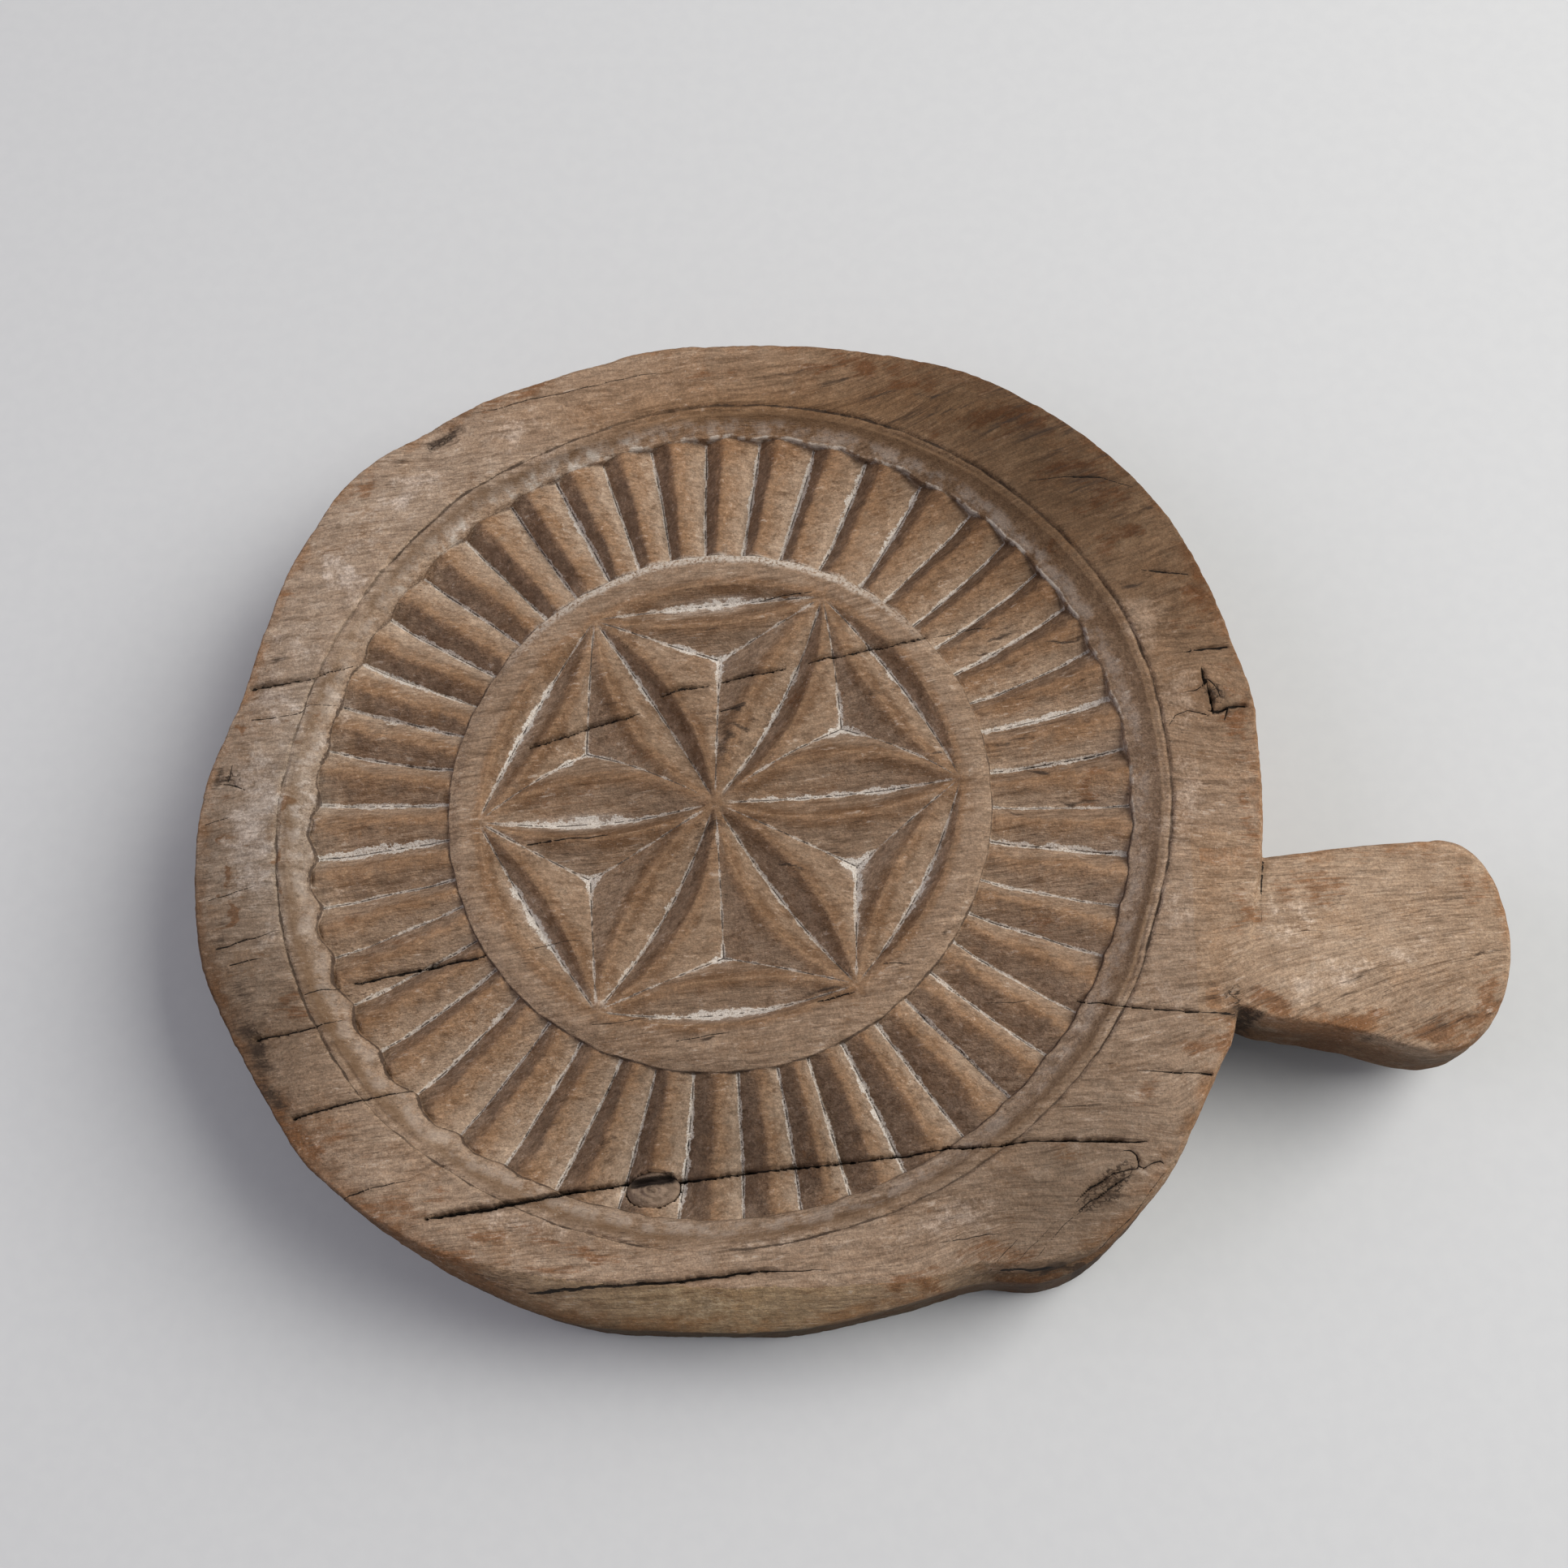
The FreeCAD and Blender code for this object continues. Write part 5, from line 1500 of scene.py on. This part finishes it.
    def crazing_stains_and_shadows(self):
        cracks = self.new("ShaderNodeTexVoronoi", feature="DISTANCE_TO_EDGE")
        jitter = self.noise(self.place((2.2, 2.2, 2.2), self.coords), rough=0.6, output="Color")
        jitter = self.vector_math("SUBTRACT", jitter, (0.5, 0.5, 0.5))
        coords = self.vector_math("ADD", self.coords, self.scaled(jitter, 3.4))
        coords = self.place((2.7, 1.5, 1.5), coords, turn=math.radians(-38))
        self.fill(cracks, {"Vector": coords, "Scale": 1.0})
        net = self.attribute("net") + (self.blotch.swing(1.0) + self.speck.swing(0.8))
        netting = (Signal(self, cracks.outputs["Distance"]).between(0.13, 0.04)
                   * (net.between(0.42, 0.75) * self.attribute("net").between(0.05, 0.3)))
        self.coat(net.between(0.3, 0.9) * self.attribute("net").between(0.05, 0.3),
                  (0.110, 0.074, 0.048), strength=0.45)
        self.coat(netting, (0.028, 0.018, 0.012), strength=0.88)
        # dark stains, with painted shadow in two holes, at the lip beside the dead knot and along
        # the handle's -Y edge
        ragged = self.stain + (self.streak.swing(1.6) + self.fibre.swing(1.2))
        self.coat(ragged.between(0.30, 1.05) * self.stain.between(0.04, 0.30),
                  (0.040, 0.026, 0.018), strength=0.88)
        # pale scuffs and specks
        self.coat(self.fine.between(0.60, 0.74) * self.mottle.between(0.40, 0.60)
                  * self.lightness, (0.560, 0.500, 0.430), strength=0.32)

    def chalk_lines(self):
        # a thin broken line in the valleys, wider where chalk has gathered
        blotch, fine, chalk, petal = self.blotch, self.fine, self.chalk, self.off_flutes
        width = (self.patchy.between(0.38, 0.64) * 0.34 + self.mix_value(petal, 0.26, 0.05)
                 + chalk * blotch.between(0.34, 0.64, low=0.22, high=1.05))
        border = self.valley - width * (fine * 1.9 - 0.10 + blotch.swing(1.2))
        line = border.between(0.16, -0.10) * self.grit.between(0.36, 0.52, low=0.25)
        line = line * self.valley.between(3.0, 2.0)
        line = line * (chalk.between(0.10, 1.10, low=0.66, high=0.90)
                       + petal * chalk.between(0.9, 0.2) * -0.18)
        self.coat(line * self.attribute("quiet").between(0.9, 0.1), (0.600, 0.555, 0.500))
        # powdery strips along the inner and outer ends of the flutes, on the +Y side
        self.x, self.y, _ = self.axes(self.coords)
        self.coat(abs(self.ring_in + 0.9 + self.wobble).between(2.1, 0.5)
                  * self.y.between(30.0, 62.0)
                  * (fine.between(0.36, 0.56) * self.x.between(60.0, 20.0, low=0.25)),
                  (0.580, 0.520, 0.450), strength=0.74)
        self.coat(abs(self.ring_out - 1.2).between(2.4, 0.4)
                  * (self.y.between(40.0, 80.0) * self.x.between(0.0, -45.0, low=0.18))
                  * blotch.between(0.50, 0.66), (0.560, 0.505, 0.440), strength=0.60)
        # pale line at the outer ends of the flutes, towards +X +Y
        self.head = (self.x * 0.53 + self.y * 0.85).between(38.0, 70.0)
        self.coat(abs(self.ring_out - (0.35 + fine.swing(0.8))).between(0.60, 0.20)
                  * (self.head * blotch.between(0.42, 0.60)),
                  (0.600, 0.540, 0.470), strength=0.60)

    def dark_lines_and_shadow(self):
        blotch, fine = self.blotch, self.fine
        # hair line at the bottom of some valleys
        breaks = self.spread(3.4, detail=2.0, rough=0.6, shift=(4, 3, 8))
        hair = (self.valley + fine.swing(0.16)).between(0.24, 0.07) * breaks.between(0.56, 0.48)
        self.coat(hair * self.attribute("quiet").between(0.8, 0.2), (0.036, 0.024, 0.017),
                  strength=0.85)
        # dark lines at the inner and outer ends of the flutes; on the -X side the outer one widens
        # into painted shadow under the band's edge
        width = 0.02 + blotch.between(0.42, 0.68) * 0.30
        self.coat((abs(self.ring_in + fine.swing(0.5)) - width).between(0.14, -0.08),
                  (0.050, 0.033, 0.024), strength=0.74)
        left = self.x.between(0.0, -45.0)
        right = self.x.between(40.0, 85.0)
        width = (left * self.y.between(62.0, 20.0) * blotch.between(0.42, 0.68, 0.06, 0.40)
                 + right * self.head.between(0.8, 0.2) * 0.14)
        self.coat((abs(self.ring_out + fine.swing(0.6)) - width).between(0.16, -0.10),
                  (0.046, 0.029, 0.021), strength=0.80)
        # scribed line of the border
        width = 0.03 + self.patchy.between(0.38, 0.66) * 0.30
        line = (abs(self.scribe + fine.swing(0.45)) - width).between(0.14, -0.08)
        self.coat(line * self.gate.between(0.36, 0.60, low=0.45, high=0.88),
                  (0.045, 0.030, 0.021))

    def checks(self):
        """Dark splits with a ragged edge and a brown halo."""
        check, half = self.check, self.cwid
        ragged = 0.50 + (self.fine * 0.40 + self.fibre.swing(1.6)) * 0.95
        dark = (check - half * ragged).between(0.07, -0.05) * half.between(0.03, 0.10)
        self.coat((check - half).between(1.5, 0.0) * (half.between(0.10, 0.40) * 0.40),
                  (0.110, 0.066, 0.038))
        self.coat(dark, (0.012, 0.009, 0.007), strength=0.96)

    def build(self):
        for step in (self.textures, self.fields, self.bare_wood, self.carving_wear_and_shading,
                     self.edge_wear_and_highlight, self.surface_grime_and_shading, self.crazing_stains_and_shadows,
                     self.chalk_lines, self.dark_lines_and_shadow, self.checks):
            step()
        rough = self.mix_value(self.worn, 0.90, 0.74)
        normal = self.bumps([
            (self.streak, 0.30, 0.0007), (self.fibre, 0.60, 0.0005), (self.blotch, 0.35, 0.0009),
            (self.fine, 0.60, 0.0004), (self.dash * self.dash.between(0.6, 0.75), 0.25, 0.0003)])
        return self.finish(self.base, rough=rough, specular=0.18, normal=normal)


def knot_material():
    graph = Coated("knot_wood")
    coords = graph.object_coords(1000)
    centred = graph.vector_math("SUBTRACT", coords, (KNOT_X, KNOT_Y, CREST_Z - 4.0))
    oval = graph.place((KNOT_LONG, KNOT_SHORT, 6.0), centred, turn=-math.radians(KNOT_TURN))
    mottle = graph.noise(graph.place((2.2, 1.3, 2.0), coords), rough=0.6)
    fine = graph.noise(graph.place((1 / 2, 1 / 3, 1 / 2), coords), rough=0.7)
    along, across, _ = graph.axes(oval)
    radius = graph.math("SQRT", graph.math("POWER", abs(along), 2.0)
                        + graph.math("POWER", abs(across), 2.0))
    wave = graph.math("SINE", (radius + mottle.swing(0.25)) * 24.0)
    graph.base = graph.mix(mottle.between(0.35, 0.66),
                           (0.150, 0.104, 0.072), (0.248, 0.178, 0.128))
    # growth rings, dark border, pale specks
    graph.coat(wave.between(0.45, 1.0), (0.120, 0.080, 0.055), strength=0.20)
    graph.coat(radius.between(0.95, 1.0), (0.060, 0.040, 0.028), strength=0.35)
    graph.coat(fine.between(0.56, 0.72), (0.330, 0.270, 0.215), strength=0.30)
    # painted shadow in the rotten hollow along the +Y side
    hollow = abs(across - 0.50 - along * 0.10) + fine.swing(0.25)
    graph.coat(hollow.between(0.34, 0.16) * abs(along).between(1.0, 0.75),
               (0.016, 0.011, 0.009), strength=0.93)
    normal = graph.bumps([(wave, 0.35, 0.0004), (fine, 0.6, 0.0004)])
    return graph.finish(graph.base, rough=0.88, specular=0.15, normal=normal)


def floor_material():
    graph = Graph("floor_paint")
    cloud = graph.noise(graph.object_coords(220), rough=0.5)
    colour = graph.mix(cloud.between(0.3, 0.7), (0.560, 0.572, 0.580), (0.572, 0.584, 0.590))
    return graph.finish(colour, rough=0.9, specular=0.1)


block.data.materials.append(Wood("weathered_wood").build())
knot.data.materials.append(knot_material())


# ---------------------------------------------------------------- floor, lights, camera (metres)
FLOOR_HALF = 6.0
floor_mesh = bpy.data.meshes.new("floor")
floor_mesh.from_pydata([(x * FLOOR_HALF, y * FLOOR_HALF, 0)
                        for x, y in ((-1, -1), (1, -1), (1, 1), (-1, 1))], [], [(0, 1, 2, 3)])
floor = link("floor", floor_mesh)
floor.location.z = -0.0005
floor.data.materials.append(floor_material())

LIGHT_TARGET = Vector((0.02, 0, 0.03))


def area_light(name, location, size, power, colour):
    light = bpy.data.lights.new(name, "AREA")
    light.shape = "RECTANGLE"
    light.size = light.size_y = size
    light.energy = power
    light.color = colour
    lamp = link(name, light)
    lamp.location = location
    aim = LIGHT_TARGET - Vector(location)
    lamp.rotation_euler = aim.to_track_quat("-Z", "Y").to_euler()


area_light("key", (1.55, 0.50, 1.48), size=1.60, power=62.0, colour=(1.0, 0.975, 0.93))
area_light("fill", (-1.60, -0.08, 1.30), size=1.4, power=9.5, colour=(0.97, 0.88, 1.0))
world = bpy.data.worlds.new("studio")
bpy.context.scene.world = world
world.use_nodes = True
background = world.node_tree.nodes["Background"]
background.inputs["Color"].default_value = (0.84, 0.85, 0.90, 1)
background.inputs["Strength"].default_value = 0.32

camera_data = bpy.data.cameras.new("camera")
camera_data.lens = 45.17
camera_data.sensor_width = 36.0
camera_data.clip_start = 0.01
camera = link("camera", camera_data)
camera_turn = Matrix(((0.99707, 0.0, 0.07655, 0), (0.02512, 0.94461, -0.32725, 0),
                      (-0.0723, 0.32821, 0.94184, 0), (0, 0, 0, 1)))
camera_place = (EYE[0] / 1000, EYE[1] / 1000, (EYE[2] + CREST_Z) / 1000)
camera.matrix_world = Matrix.Translation(camera_place) @ camera_turn
bpy.context.scene.camera = camera
bpy.context.scene.view_settings.view_transform = "Standard"
